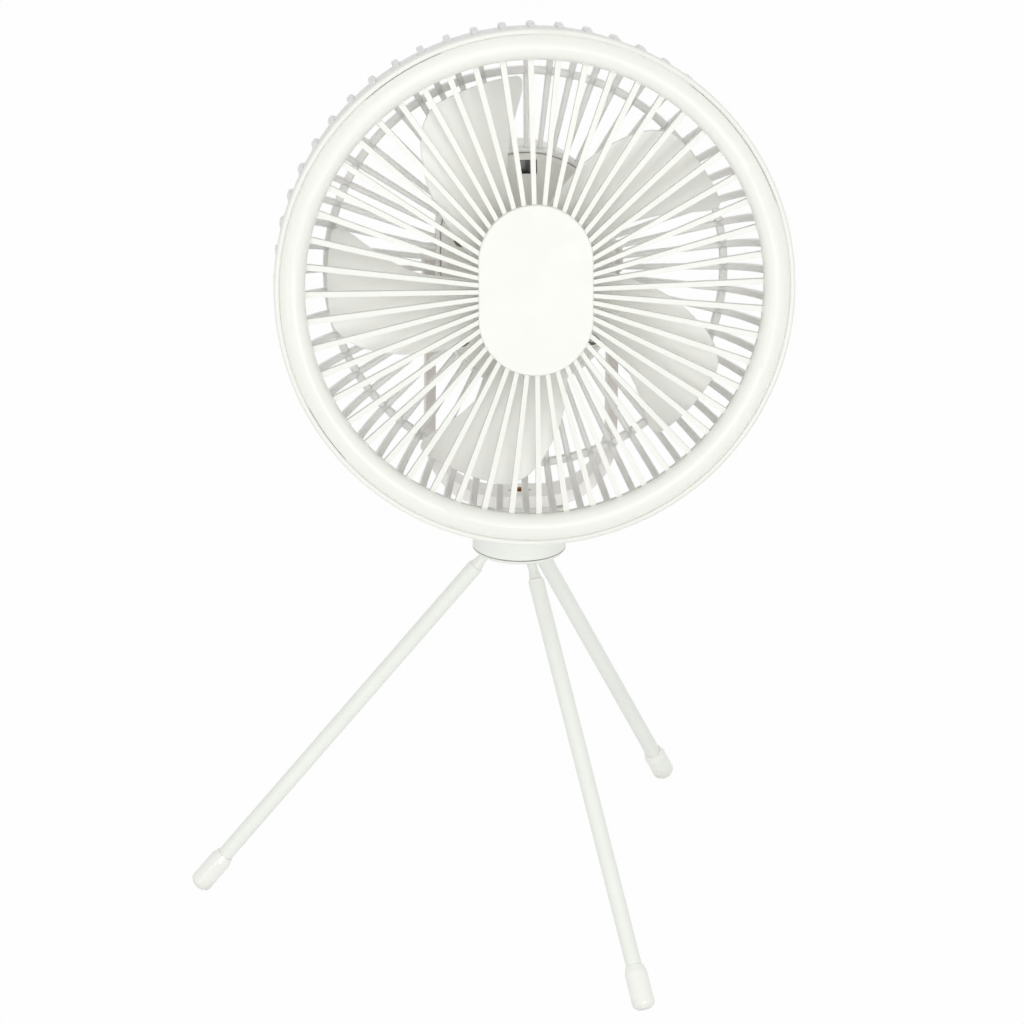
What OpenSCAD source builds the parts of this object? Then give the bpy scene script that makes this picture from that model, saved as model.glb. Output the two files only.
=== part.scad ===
// Rechargeable camping fan with a ring light, on a U bracket and a folding pocket tripod.
//
// Frame: +Z up, the tripod's feet stand on z = 0, the tripod's stem is the Z axis, and
// the fan blows towards -Y. The head is drawn about its tilt pivot, with x to the right,
// y up and z forward along the fan's own axis, and head_frame() puts it in its place.

/* [Front ring] */
// Outer radius of the front ring
ring_r = 103; // [98:0.5:112]
// Distance from the tilt pivot to the front edge of the ring
ring_reach = 77; // [74:0.5:90]
// Depth of the ring's outer wall, front to back
ring_depth = 8; // [7:0.5:10]
// Thickness of the ring's outer wall
ring_wall = 2.2; // [1.6:0.1:3]
// Dark joint between the ring's wall and the light diffuser
diffuser_gap = 0.15; // [0.1:0.05:0.5]
// Width of the light diffuser, from its outer edge to the grille
diffuser_w = 10; // [8:0.5:14]
// Height of the diffuser's crown over the ring's front edge
diffuser_crown = 1.5; // [0.8:0.1:3]
// Wall of the diffuser
diffuser_wall = 1.2; // [0.8:0.1:1.6]
// Number of light-emitting diodes under the diffuser
led_count = 36; // [24:4:60]

/* [Front grille] */
// Number of radial ribs
grille_ribs = 52; // [40:2:60]
// Turn of the first rib from the top of the ring
grille_turn = 0.9; // [0:0.1:3]
// Width of a rib at the centre plate
grille_rib_inner_w = 1.7; // [1.2:0.1:2.2]
// Width of a rib at the ring
grille_rib_outer_w = 2.3; // [1.6:0.1:3]
// Depth of a rib, front to back
grille_rib_depth = 3.2; // [2.4:0.1:4]
// Half width of the centre plate, which is also its end radius
plate_r = 22.7; // [20:0.1:28]
// Half height of the centre plate
plate_half_h = 34; // [30:0.5:40]
// Height of the plate's face over the ring's front edge
plate_rise = 3.5; // [1:0.1:6]
// Thickness of the centre plate
plate_t = 2.6; // [2:0.1:4]

/* [Rear guard] */
// Number of fins of the rear guard
guard_fins = 56; // [44:2:64]
// Turn of the rear fins round the axis, degrees
guard_turn = 4.8; // [0:0.1:6]
// Width of a fin at the rim
fin_outer_w = 2.9; // [2:0.1:3.6]
// Width of a fin near the housing
fin_inner_w = 1.7; // [1.2:0.1:2.2]
// Depth of a fin
fin_depth = 4.5; // [3:0.1:6]
// Radius of the fins' bend from back to side
fin_bend_r = 24; // [16:1:32]
// How far the fins stand out of the guard's wall
fin_proud = 1.7; // [0.6:0.1:2]
// Distance from the tilt pivot to the guard's back face
guard_back = 18; // [17.5:0.1:18.6]
// Depth of the guard's plain wall behind the ring
guard_wall_depth = 24; // [16:1:28]
// Thickness of the guard's wall
guard_wall = 2; // [1.6:0.1:2.6]
// Mean radius of the hoop that ties the fins together
hoop_r = 80; // [66:1:86]

/* [Housing] */
// Half width of the motor housing, which is also its end radius
housing_r = 34.2; // [33.8:0.1:38]
// Wall of the housing
housing_wall = 2.2; // [1.8:0.1:2.6]
// Distance from the tilt pivot to the seam of the front cover
housing_front = 25; // [24.8:0.1:27]
// Distance from the tilt pivot back to the seam of the back cover
housing_back = 18; // [17.8:0.1:21]
// Thickness of the front and back covers
cover_t = 3.8; // [3.2:0.1:4.4]
// Open seam between a cover and the housing shell
seam = 0.3; // [0.2:0.05:0.5]
// Rounding of the covers' outer edges
cover_edge_r = 1.6; // [0.8:0.1:2.4]

/* [Impeller] */
// Number of blades
blade_count = 5; // [3:1:7]
// Radius at the blade tips
blade_tip_r = 81.5; // [76:0.5:84]
// Radius of the impeller's hub
hub_r = 20.5; // [18:0.5:22]
// Width of a blade, leading to trailing edge
blade_chord = 50; // [40:1:54]
// Thickness of a blade
blade_t = 1.6; // [1.2:0.1:2.4]
// Sagitta of a blade's camber
blade_camber = 3.6; // [2:0.2:5]
// Angle of the first blade's centre line from the head's right
blade_start = 37.5; // [0:0.5:71]
// Depth of the blades, front to back
blade_depth = 17.5; // [14:0.5:19]
// Free space between the grille and the blades
impeller_clearance = 5.5; // [3:0.1:7]

/* [Motor] */
// Radius of the motor's case
motor_r = 17.5; // [15:0.5:19]
// Length of the motor's case
motor_l = 27; // [22:0.5:28]
// Radius of the motor shaft
shaft_r = 1.5; // [1.5:0.1:2]

/* [Battery and board] */
// Radius of a battery cell
cell_r = 9.15; // [9:0.05:9.3]
// Length of a battery cell
cell_l = 65; // [60:0.5:70]
// Space between the cells' ends and the ends of the housing, for the screw posts
cell_end_space = 14.5; // [13.5:0.1:17]
// Thickness of the printed circuit boards
board_t = 1.6; // [1:0.1:1.8]

/* [Buttons] */
// Radius of a push button
button_r = 4; // [3:0.1:5]
// Travel of a push button
button_travel = 0.6; // [0.3:0.1:0.8]
// How far a button stands out of the back cover
button_proud = 1; // [0.8:0.1:1.6]

/* [Bracket] */
// Tilt of the head at rest, facing up
head_tilt = 10; // [0:1:20]
// Front-to-back width of the bracket's strap
strap_w = 15; // [12:0.5:18]
// Thickness of the bracket's arms
arm_t = 4; // [2.8:0.1:4.4]
// Gap between a bracket arm and the housing
arm_gap = 1; // [0.8:0.1:2]
// Distance from the tilt pivot down to the inner bottom of the bracket
bracket_drop = 100; // [94:0.5:112]
// Thickness of the bracket at its bottom
base_t = 5; // [4:0.1:7]
// Inner radius of the bracket's bottom corners
bracket_corner_r = 26; // [20:1:34]
// Radius of the shank of a pivot screw
pivot_r = 3; // [2:0.1:4]

/* [Tripod head] */
// Radius of the 1/4 inch camera screw
camera_screw_r = 3.175; // [3.1:0.005:3.4]
// Radius of the swivel cup at its top
cup_r = 20; // [18.9:0.1:22]
// Height of the swivel cup
cup_h = 18.8; // [15:0.1:22]
// Wall of the swivel cup
cup_wall = 1.8; // [1.2:0.1:2]
// Open gap between the swivel cup and the hub plate
swivel_gap = 0.5; // [0.3:0.05:1]
// Thickness of the hub plate
hub_plate_t = 1.5; // [1.2:0.1:3]
// Distance from the tripod's axis to a leg's hinge pin
pin_ring_r = 7.2; // [7:0.1:8]

/* [Legs] */
// Length of a leg from its hinge pin to its tip
leg_l = 201; // [170:1:240]
// Angle of an open leg from the vertical
splay = 39; // [30:0.5:40]
// Heading of the left leg
left_heading = 179; // [172:0.5:184]
// Heading of the front leg
front_heading = 289; // [284:0.5:296]
// Heading of the rear leg
rear_heading = 57; // [50:0.5:62]
// Radius of a leg tube
tube_r = 3.25; // [3:0.05:3.4]
// Wall of a leg tube
tube_wall = 0.8; // [0.6:0.05:1]
// Radius of a leg's neck and knuckle
neck_r = 2; // [1.8:0.05:2.2]
// Length of the neck, from the hinge pin to the tube
neck_l = 16.6; // [15:0.1:20]
// Radius of a foot cap
foot_r = 4.65; // [4.4:0.05:5.5]
// Length of a foot cap
foot_l = 18; // [14:0.5:24]
// Depth of the small flat on which a foot stands
foot_flat = 0.35; // [0.2:0.05:0.6]

/* [Hidden] */

// Fits shared by every piece
fit = 0.05;          // radial clearance of a pin, shaft or screw in its hole
slide_fit = 0.2;     // clearance of a button or lens in its hole
eps = 0.01;          // overshoot of a cut through a face
$fn = 96;
fn_ring = 180;
fn_small = 32;

// Colours
warm_white = "#fafbf6";
shade_white = "#e6e6e0";
tube_white = "#e4e7e0";
cap_white = "#e2e4dc";

// Heights of the tripod head, from the floor up
leg_headings = [left_heading, front_heading, rear_heading];
foot_tip_r = foot_r - 1.8;
pin_z = leg_l * cos(splay) + foot_tip_r * sin(splay) - foot_flat;
pin_r = 1;
pin_l = 9;
pin_height = 5.6;
hub_bottom = pin_z - pin_height;
hub_top = hub_bottom + hub_plate_t;
cup_bottom = hub_top + swivel_gap;
cup_top = cup_bottom + cup_h;
cup_top_t = 3;
core_drop = 6;
core_top = cup_top - core_drop;
stud_r = 2.4;
swivel_washer_t = 0.9;
swivel_nut_r = 3.9;
swivel_nut_t = 2.2;
cup_foot_r = cup_r - 0.8;
seat_r = 7.6;
skin_t = 0.8;
insert_r = 5.2;
insert_h = base_t - skin_t;
insert_screw_x = 4.15;
insert_screw_r = 0.5;
insert_screw_l = skin_t + 1.4;
pivot_z = cup_top + base_t + bracket_drop;

// Stations along the head's axis, from the back forwards
back_face = -housing_back - cover_t;
front_face = housing_front + cover_t;
ring_back = ring_reach - ring_depth;
ring_floor_t = 1.5;
ring_floor = ring_back + ring_floor_t;
guard_wall_back = ring_back - guard_wall_depth;

// Radii of the front ring, from the outside in
diffuser_outer_r = ring_r - ring_wall - diffuser_gap;
diffuser_inner_r = diffuser_outer_r - diffuser_w;
guard_r = ring_r - 2.2;
led_board_inner = diffuser_inner_r + 2.9;
led_board_outer = diffuser_outer_r - 2;
led_board_t = 1;

// Ring ribs and the blades' space between them and the front cover
rib_root_r = plate_r - 1;
rib_end_r = diffuser_inner_r + 0.6;
rib_front_end = ring_floor + grille_rib_depth + 0.3;
rim_front = rib_front_end + 0.25;
rim_t = 1.9;
rib_front_root = ring_reach + plate_rise - 0.5;
rib_slope = (rib_front_root - rib_front_end) / (rib_end_r - rib_root_r);
rib_back_at_tip = rib_front_end + rib_slope * (rib_end_r - blade_tip_r) - grille_rib_depth;
blade_front = rib_back_at_tip - impeller_clearance;
blade_back = blade_front - blade_depth;
blade_mid = (blade_back + blade_front) / 2;

// The housing, as tall as its cells need
housing_half_h = cell_l / 2 + cell_end_space;
housing_inner_r = housing_r - housing_wall;
lip_t = 1.4;
lip_l = 3;
post_r = 3.4;
cover_screw_x = housing_r - 8;
cover_screw_top_y = housing_half_h - 34;
cover_screw_low_y = 19.5 - housing_half_h;
cover_screw_xy = [
    [cover_screw_x, cover_screw_top_y],
    [-cover_screw_x, cover_screw_top_y],
    [cover_screw_x, cover_screw_low_y],
    [-cover_screw_x, cover_screw_low_y]
];
back_screw_x = 12;
back_screw_y = housing_half_h - 9;
back_screw_xy = [
    [back_screw_x, back_screw_y],
    [-back_screw_x, back_screw_y],
    [back_screw_x, -back_screw_y],
    [-back_screw_x, -back_screw_y]
];
screw_r = 1.3;
screw_l = 9;
screw_head_r = 2.8;
screw_head_t = 1.6;
recess_r = screw_head_r + 0.4;
recess_depth = 2.3;
cell_z = -4;
partition_t = 1.8;
partition_front = cell_z + cell_r + 1.2 + partition_t;
motor_back = partition_front + 2;
motor_front = motor_back + motor_l;
motor_end_t = 2;
winding_back = 8;
winding_front = 6;
nose_l = 3;
nose_r = 6.5;
turret_wall = 1.6;
turret_front = motor_front + fit + turret_wall;
hub_back = motor_front + nose_l + 1;
hub_front = blade_front + 1.5;
boss_r = 5.5;
boss_l = 6.4;
bearing_r = 5;
bearing_t = 4;
magnet_r = 9;
board_z = cell_z - cell_r - fit - board_t;
board_w = 36;
board_bottom = 9.5 - housing_half_h;
board_top = housing_half_h - 17.5;
switch_t = 1;
ir_x = 0.6;
ir_y = housing_half_h - 5;
ir_w = 7.1;
ir_h = 5.7;
ir_window_t = 2.1;
ir_window_front = front_face - 0.3;
ir_part = [5, 4.2, 1.8];
button_x = 11;
button_y = 27 - housing_half_h;
usb_y = 12.5 - housing_half_h;
usb_w = 9.2;
usb_h = 3.4;
lens_r = 1.1;
lens_pitch = 5;
lens_count = 4;
lens_y = housing_half_h - 35;
arm_inner = housing_r + arm_gap;
arm_outer = arm_inner + arm_t;
washer_r = 7;
pivot_head_r = 6;
pivot_head_t = 2.4;

// ---------------------------------------------------------------- helpers

// A stadium outline: half width and end radius r, half height h, long along y
module stadium(r, h) {
    for (side = [-1, 1])
        translate([0, side * (h - r)])
            circle(r);
    square([2 * r, 2 * (h - r)], center = true);
}

// A stadium body whose wall follows a profile drawn as [distance from the centre, z]
module stadium_body(r, h) {
    straight = h - r;
    for (turn = [0, 180])
        rotate(turn)
            translate([0, straight, 0])
                rotate_extrude(angle = 180)
                    children();
    rotate([90, 0, 0])
        linear_extrude(2 * straight, center = true)
            for (side = [0, 1])
                mirror([side, 0])
                    children();
}

// Profile of a flat cover: a slab with its outer front edge rounded
module cover_profile(r, t, edge) {
    square([r, t - edge]);
    square([r - edge, t]);
    translate([r - edge, t - edge])
        circle(edge, $fn = 48);
}

// Radial spokes, seen along the head's axis
module spokes(count, r0, r1, w0, w1, start = 90) {
    for (i = [0 : count - 1])
        rotate(start + i * 360 / count)
            polygon([[r0, -w0 / 2], [r1, -w1 / 2], [r1, w1 / 2], [r0, w0 / 2]]);
}

// The head's frame: z forward along the fan's axis, y up, tilted at its pivot
module head_frame() {
    translate([0, 0, pivot_z])
        rotate([-head_tilt, 0, 0])
            rotate([90, 0, 0])
                children();
}

// A leg's frame: +Z down the leg from its hinge pin, +X outwards on its upper side
module leg_frame(i) {
    rotate(leg_headings[i])
        translate([pin_ring_r, 0, pin_z])
            rotate([0, 180 - splay, 0])
                children();
}

// ---------------------------------------------------------------- tripod

// Slot of one leg through the hub, long enough for the leg's fold
module leg_slot() {
    slot_w = 2 * neck_r + 0.8;
    inner = pin_ring_r - neck_r - 1.1;
    reach = (pin_z - hub_bottom) * tan(splay) + neck_r / cos(splay);
    outer = pin_ring_r + reach + 0.3;
    translate([inner, -slot_w / 2, hub_bottom - 1])
        cube([outer - inner, slot_w, pin_z - hub_bottom + 1 + neck_r + 2]);
}

// Slotted core and plate in which the legs hinge
module tripod_hub() {
    chamfer = 1;
    core_r = cup_r - cup_wall - 0.8;
    color(shade_white)
        difference() {
            union() {
                rotate_extrude()
                    polygon([
                        [0, hub_bottom],
                        [cup_foot_r - chamfer, hub_bottom],
                        [cup_foot_r, hub_bottom + chamfer],
                        [cup_foot_r, hub_top],
                        [0, hub_top]
                    ]);
                translate([0, 0, hub_top - eps])
                    cylinder(r = core_r, h = core_top - hub_top + eps);
            }
            for (heading = leg_headings)
                rotate(heading) {
                    leg_slot();
                    translate([pin_ring_r, 0, pin_z])
                        rotate([90, 0, 0])
                            cylinder(r = pin_r + fit, h = pin_l + 2 * fit, center = true);
                }
            translate([0, 0, hub_bottom - 1])
                cylinder(r = stud_r + fit, h = core_top - hub_bottom + 2);
        }
}

// Hinge pins of the three legs
module leg_pins() {
    color("silver")
        for (heading = leg_headings)
            rotate(heading)
                translate([pin_ring_r, 0, pin_z])
                    rotate([90, 0, 0])
                        cylinder(r = pin_r, h = pin_l, center = true, $fn = fn_small);
}

// Spring washer between the core and the screw's flange, which makes the swivel stiff
module swivel_washer() {
    color("silver")
        translate([0, 0, core_top])
            difference() {
                cylinder(r = 6.5, h = swivel_washer_t);
                translate([0, 0, -1])
                    cylinder(r = stud_r + 0.3, h = swivel_washer_t + 2);
            }
}

// Nut that holds the stud under the hub
module swivel_nut() {
    color("silver")
        translate([0, 0, hub_bottom - swivel_nut_t - fit])
            difference() {
                cylinder(r = swivel_nut_r, h = swivel_nut_t, $fn = 6);
                translate([0, 0, -1])
                    cylinder(r = stud_r + fit, h = swivel_nut_t + 2);
            }
}

// Camera screw: a flange in the cup, a thread up into the bracket, a stud down the hub
module tripod_screw() {
    flange_bottom = core_top + swivel_washer_t + fit;
    flange_top = cup_top - cup_top_t;
    stud_bottom = hub_bottom - swivel_nut_t - 0.6;
    thread_top = cup_top + insert_h - 0.8;
    tip_l = 0.6;
    color("silver") {
        translate([0, 0, flange_bottom])
            cylinder(r = 7, h = flange_top - flange_bottom);
        translate([0, 0, flange_top - eps])
            cylinder(r = camera_screw_r, h = thread_top - tip_l - flange_top + eps);
        translate([0, 0, thread_top - tip_l - eps])
            cylinder(r1 = camera_screw_r, r2 = camera_screw_r - tip_l, h = tip_l + eps);
        translate([0, 0, stud_bottom])
            cylinder(r = stud_r, h = flange_bottom - stud_bottom + eps);
    }
}

// Swivel cup over the hub, with a slight taper downwards
module swivel_cup() {
    edge = 0.8;
    color(warm_white)
        difference() {
            rotate_extrude()
                polygon([
                    [0, cup_bottom],
                    [cup_foot_r, cup_bottom],
                    [cup_r, cup_top - edge],
                    [cup_r - edge, cup_top],
                    [0, cup_top]
                ]);
            translate([0, 0, cup_bottom - 1])
                cylinder(r = cup_r - cup_wall, h = cup_h - cup_top_t + 1);
            translate([0, 0, cup_bottom])
                cylinder(r = camera_screw_r + fit, h = cup_h + 1);
        }
}

// ---------------------------------------------------------------- legs

// Knuckle: an eye on the pin, a neck, a flared shoulder and a plug inside the tube
module leg_knuckle(i) {
    eye_r = neck_r + 0.7;
    eye_w = 2 * neck_r + 0.2;
    flare_l = 3.4;
    plug_l = 9;
    plug_r = tube_r - tube_wall - fit;
    color(tube_white)
        leg_frame(i)
            difference() {
                union() {
                    rotate([90, 0, 0])
                        cylinder(r = eye_r, h = eye_w, center = true, $fn = fn_small);
                    cylinder(r = neck_r, h = neck_l, $fn = fn_small);
                    translate([0, 0, neck_l - flare_l])
                        cylinder(r1 = neck_r, r2 = tube_r - 0.5, h = flare_l, $fn = fn_small);
                    translate([0, 0, neck_l - eps])
                        cylinder(r = plug_r, h = plug_l, $fn = fn_small);
                }
                rotate([90, 0, 0])
                    cylinder(r = pin_r + fit, h = 6 * neck_r, center = true, $fn = fn_small);
            }
}

// Tube with a chamfered top
module leg_tube(i) {
    top_chamfer = 0.5;
    color(tube_white)
        leg_frame(i)
            rotate_extrude()
                polygon([
                    [tube_r - tube_wall, neck_l],
                    [tube_r - top_chamfer, neck_l],
                    [tube_r, neck_l + top_chamfer],
                    [tube_r, leg_l - 5],
                    [tube_r - tube_wall, leg_l - 5]
                ]);
}

// Moulded cap on the leg's end, trimmed flat where it meets the floor
module leg_foot(i) {
    shoulder_l = 3;
    tip_l = 2.2;
    color(cap_white)
        difference() {
            leg_frame(i)
                rotate_extrude()
                    polygon([
                        [tube_r + fit, leg_l - foot_l],
                        [tube_r + 0.5, leg_l - foot_l],
                        [foot_r, leg_l - foot_l + shoulder_l],
                        [foot_r, leg_l - tip_l],
                        [foot_r - 0.5, leg_l - tip_l / 2],
                        [foot_tip_r, leg_l],
                        [0, leg_l],
                        [0, leg_l - 5 + fit],
                        [tube_r + fit, leg_l - 5 + fit]
                    ]);
            translate([0, 0, -leg_l])
                cube([4 * leg_l, 4 * leg_l, 2 * leg_l], center = true);
        }
}

// ---------------------------------------------------------------- bracket

// Outline of the U, seen from the front, filled down to its bottom
module u_outline(half_w, bottom, corner) {
    translate([-half_w, bottom + corner])
        square([2 * half_w, pivot_z - bottom - corner]);
    translate([-half_w + corner, bottom])
        square([2 * (half_w - corner), corner + eps]);
    for (side = [-1, 1])
        translate([side * (half_w - corner), bottom + corner])
            circle(corner);
}

// U strap with round ends at the pivot, and a seat for the camera screw
module bracket() {
    outer_corner = bracket_corner_r + arm_t;
    end_r = strap_w / 2;
    sight_hole_r = 1.8;
    color(shade_white)
        difference() {
            union() {
                intersection() {
                    rotate([90, 0, 0])
                        linear_extrude(strap_w + 2, center = true)
                            difference() {
                                u_outline(arm_outer, cup_top, outer_corner);
                                u_outline(arm_inner, cup_top + base_t, bracket_corner_r);
                                translate([-arm_inner, pivot_z - 1])
                                    square([2 * arm_inner, 2]);
                            }
                    rotate([90, 0, 90])
                        linear_extrude(2 * arm_outer + 2, center = true)
                            translate([-end_r, cup_top - 1])
                                square([2 * end_r, pivot_z - cup_top + 2]);
                }
                for (side = [-1, 1])
                    translate([side * (arm_inner + arm_t / 2), 0, pivot_z])
                        rotate([0, 90, 0])
                            cylinder(r = end_r, h = arm_t, center = true);
                translate([0, 0, cup_top])
                    cylinder(r = seat_r, h = base_t);
            }
            translate([0, 0, pivot_z])
                rotate([0, 90, 0])
                    cylinder(r = pivot_r + fit, h = 4 * arm_outer, center = true);
            translate([0, 0, cup_top - 1])
                cylinder(r = insert_r + fit, h = insert_h + 1);
            translate([0, 0, cup_top])
                cylinder(r = sight_hole_r, h = base_t + 1, $fn = fn_small);
            insert_screw_holes();
        }
}

// Holes of the insert's two screws
module insert_screw_holes() {
    for (side = [-1, 1])
        translate([side * insert_screw_x, 0, cup_top + base_t - insert_screw_l])
            cylinder(r = insert_screw_r + fit, h = insert_screw_l + 1, $fn = fn_small);
}

// Blind brass insert for the camera screw, pressed in from below
module bracket_insert() {
    roof_t = 0.7;
    color("goldenrod")
        difference() {
            translate([0, 0, cup_top])
                cylinder(r = insert_r, h = insert_h);
            translate([0, 0, cup_top - 1])
                cylinder(r = camera_screw_r + fit, h = insert_h - roof_t + 1);
            insert_screw_holes();
        }
}

// Two small screws that lock the insert
module insert_screws() {
    color("dimgray")
        for (side = [-1, 1])
            translate([side * insert_screw_x, 0, cup_top + base_t - insert_screw_l])
                cylinder(r = insert_screw_r, h = insert_screw_l - 0.1, $fn = fn_small);
}

// ---------------------------------------------------------------- front ring

// Ring with an outer wall, a floor for the lights and a spigot into the guard
module bezel_ring() {
    inner_wall_r = ring_r - ring_wall;
    floor_r = diffuser_inner_r + 0.4;
    edge = ring_wall / 2;
    spigot_r = guard_r - guard_wall - 0.2;
    color(warm_white)
        head_frame()
            rotate_extrude($fn = fn_ring)
                union() {
                    polygon([
                        [floor_r, ring_back],
                        [guard_r + 0.4, ring_back],
                        [ring_r, ring_back + 2.8],
                        [ring_r, ring_reach - edge],
                        [inner_wall_r, ring_reach - edge],
                        [inner_wall_r, ring_floor],
                        [floor_r, ring_floor]
                    ]);
                    translate([ring_r - edge, ring_reach - edge])
                        circle(edge, $fn = 48);
                    translate([spigot_r - 1.6, ring_back - 4])
                        square([1.6, 4 + eps]);
                }
}

// Milky cover of the ring light: a crowned band that rolls down to the grille's rim
module light_diffuser() {
    outer_drop = diffuser_crown + 0.5;
    inner_drop = 2 * outer_drop;
    section_h = ring_depth + 2 * diffuser_crown;
    lip = 1.6;
    lip_back = rim_front + fit;
    shelf_r = rib_end_r + rim_t + 0.2;
    color(warm_white)
        head_frame()
            rotate_extrude($fn = fn_ring)
                difference() {
                    intersection() {
                        translate([diffuser_inner_r, ring_floor + fit])
                            square([diffuser_w, section_h]);
                        crown(outer_drop, inner_drop, 0);
                    }
                    intersection() {
                        translate([diffuser_inner_r + lip, ring_back])
                            square([diffuser_w - 2 * lip, section_h]);
                        crown(outer_drop, inner_drop, diffuser_wall);
                    }
                    translate([diffuser_inner_r - 1, ring_back])
                        square([shelf_r - diffuser_inner_r + 1, lip_back - ring_back]);
                }
}

// The diffuser's section under its crown: an arc that falls outwards and one inwards
module crown(outer_drop, inner_drop, inset) {
    half = diffuser_w / 2;
    mid_r = diffuser_inner_r + half;
    crown_z = ring_reach + diffuser_crown;
    for (side = [[1, outer_drop], [-1, inner_drop]]) {
        drop = side[1];
        arc_r = (half * half + drop * drop) / (2 * drop);
        intersection() {
            translate([mid_r, crown_z - arc_r])
                circle(arc_r - inset, $fn = 256);
            translate([side[0] > 0 ? mid_r : mid_r - half - 1, crown_z - arc_r])
                square([half + 1, arc_r]);
        }
        translate([side[0] > 0 ? mid_r : mid_r - half, ring_back])
            square([half, crown_z - min(drop + inset, arc_r) - ring_back + eps]);
    }
}

// Ring board that carries the lights
module led_board() {
    color("white")
        head_frame()
            translate([0, 0, ring_floor])
                difference() {
                    cylinder(r = led_board_outer, h = led_board_t, $fn = fn_ring);
                    translate([0, 0, -1])
                        cylinder(r = led_board_inner, h = led_board_t + 2, $fn = fn_ring);
                }
}

// The lights themselves
module led_chips() {
    chip = [2.8, 3.5, 0.7];
    mid_r = (led_board_inner + led_board_outer) / 2;
    color("khaki")
        head_frame()
            for (i = [0 : led_count - 1])
                rotate(i * 360 / led_count)
                    translate([mid_r - chip[0] / 2, -chip[1] / 2, ring_floor + led_board_t])
                        cube(chip);
}

// Front grille: straight ribs from a stadium plate out to a rim under the diffuser
module front_grille() {
    back_root = rib_front_root - grille_rib_depth;
    back_end = rib_front_end - grille_rib_depth;
    color(warm_white)
        head_frame()
            union() {
                intersection() {
                    rotate_extrude($fn = fn_ring)
                        polygon([
                            [rib_root_r, back_root],
                            [rib_root_r, rib_front_root],
                            [rib_end_r + 1, rib_front_end - rib_slope],
                            [rib_end_r + 1, back_end - rib_slope]
                        ]);
                    translate([0, 0, back_end - 4])
                        linear_extrude(rib_front_root - back_end + 8)
                            difference() {
                                spokes(
                                    grille_ribs,
                                    rib_root_r - 1,
                                    rib_end_r + 2,
                                    grille_rib_inner_w,
                                    grille_rib_outer_w,
                                    90 + grille_turn
                                );
                                stadium(plate_r - 1, plate_half_h - 1);
                            }
                }
                translate([0, 0, ring_floor])
                    difference() {
                        cylinder(r = rib_end_r + rim_t, h = rim_front - ring_floor, $fn = fn_ring);
                        translate([0, 0, -1])
                            cylinder(r = rib_end_r, h = ring_depth, $fn = fn_ring);
                    }
                translate([0, 0, ring_reach + plate_rise - plate_t])
                    stadium_body(plate_r, plate_half_h)
                        cover_profile(plate_r, plate_t, 0.6);
            }
}

// ---------------------------------------------------------------- rear guard

// Filled section of the guard from the axis out to its fins' outer or inner edge
module guard_section(r, back, bend, front) {
    translate([0, back + bend])
        square([r, front - back - bend]);
    translate([0, back])
        square([r - bend, front - back]);
    translate([r - bend, back + bend])
        intersection() {
            circle(bend);
            translate([0, -bend])
                square(bend);
        }
}

// Finned cage round the impeller, with a plain wall at the front and a collar
module rear_guard() {
    fin_overlap = 15;
    hoop_half_w = 1.6;
    fin_r = guard_r + fin_proud;
    fin_front = guard_wall_back + fin_overlap;
    collar_gap = 0.2;
    collar_inner = housing_r + collar_gap;
    collar_t = 1.7;
    collar_h = fin_depth + 1.5;
    color(shade_white)
        head_frame()
            union() {
                intersection() {
                    rotate_extrude($fn = fn_ring)
                        difference() {
                            guard_section(fin_r, guard_back, fin_bend_r, fin_front);
                            guard_section(
                                fin_r - fin_depth,
                                guard_back + fin_depth,
                                fin_bend_r - fin_depth,
                                fin_front + 1
                            );
                        }
                    translate([0, 0, guard_back - 1])
                        linear_extrude(fin_front - guard_back + 2)
                            difference() {
                                spokes(
                                    guard_fins,
                                    housing_r,
                                    fin_r + 2,
                                    fin_inner_w,
                                    fin_outer_w,
                                    90 + guard_turn
                                );
                                stadium(collar_inner + 1, housing_half_h + collar_gap + 1);
                            }
                }
                translate([0, 0, guard_wall_back])
                    difference() {
                        cylinder(r = guard_r, h = guard_wall_depth, $fn = fn_ring);
                        translate([0, 0, -1])
                            cylinder(r = guard_r - guard_wall, h = guard_wall_depth + 2, $fn = fn_ring);
                    }
                translate([0, 0, guard_back + 0.5])
                    difference() {
                        cylinder(r = hoop_r + hoop_half_w, h = fin_depth - 0.5, $fn = fn_ring);
                        translate([0, 0, -1])
                            cylinder(r = hoop_r - hoop_half_w, h = fin_depth + 1, $fn = fn_ring);
                    }
                translate([0, 0, guard_back])
                    linear_extrude(collar_h)
                        difference() {
                            stadium(collar_inner + collar_t, housing_half_h + collar_gap + collar_t);
                            stadium(collar_inner, housing_half_h + collar_gap);
                        }
            }
}

// ---------------------------------------------------------------- housing

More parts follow.
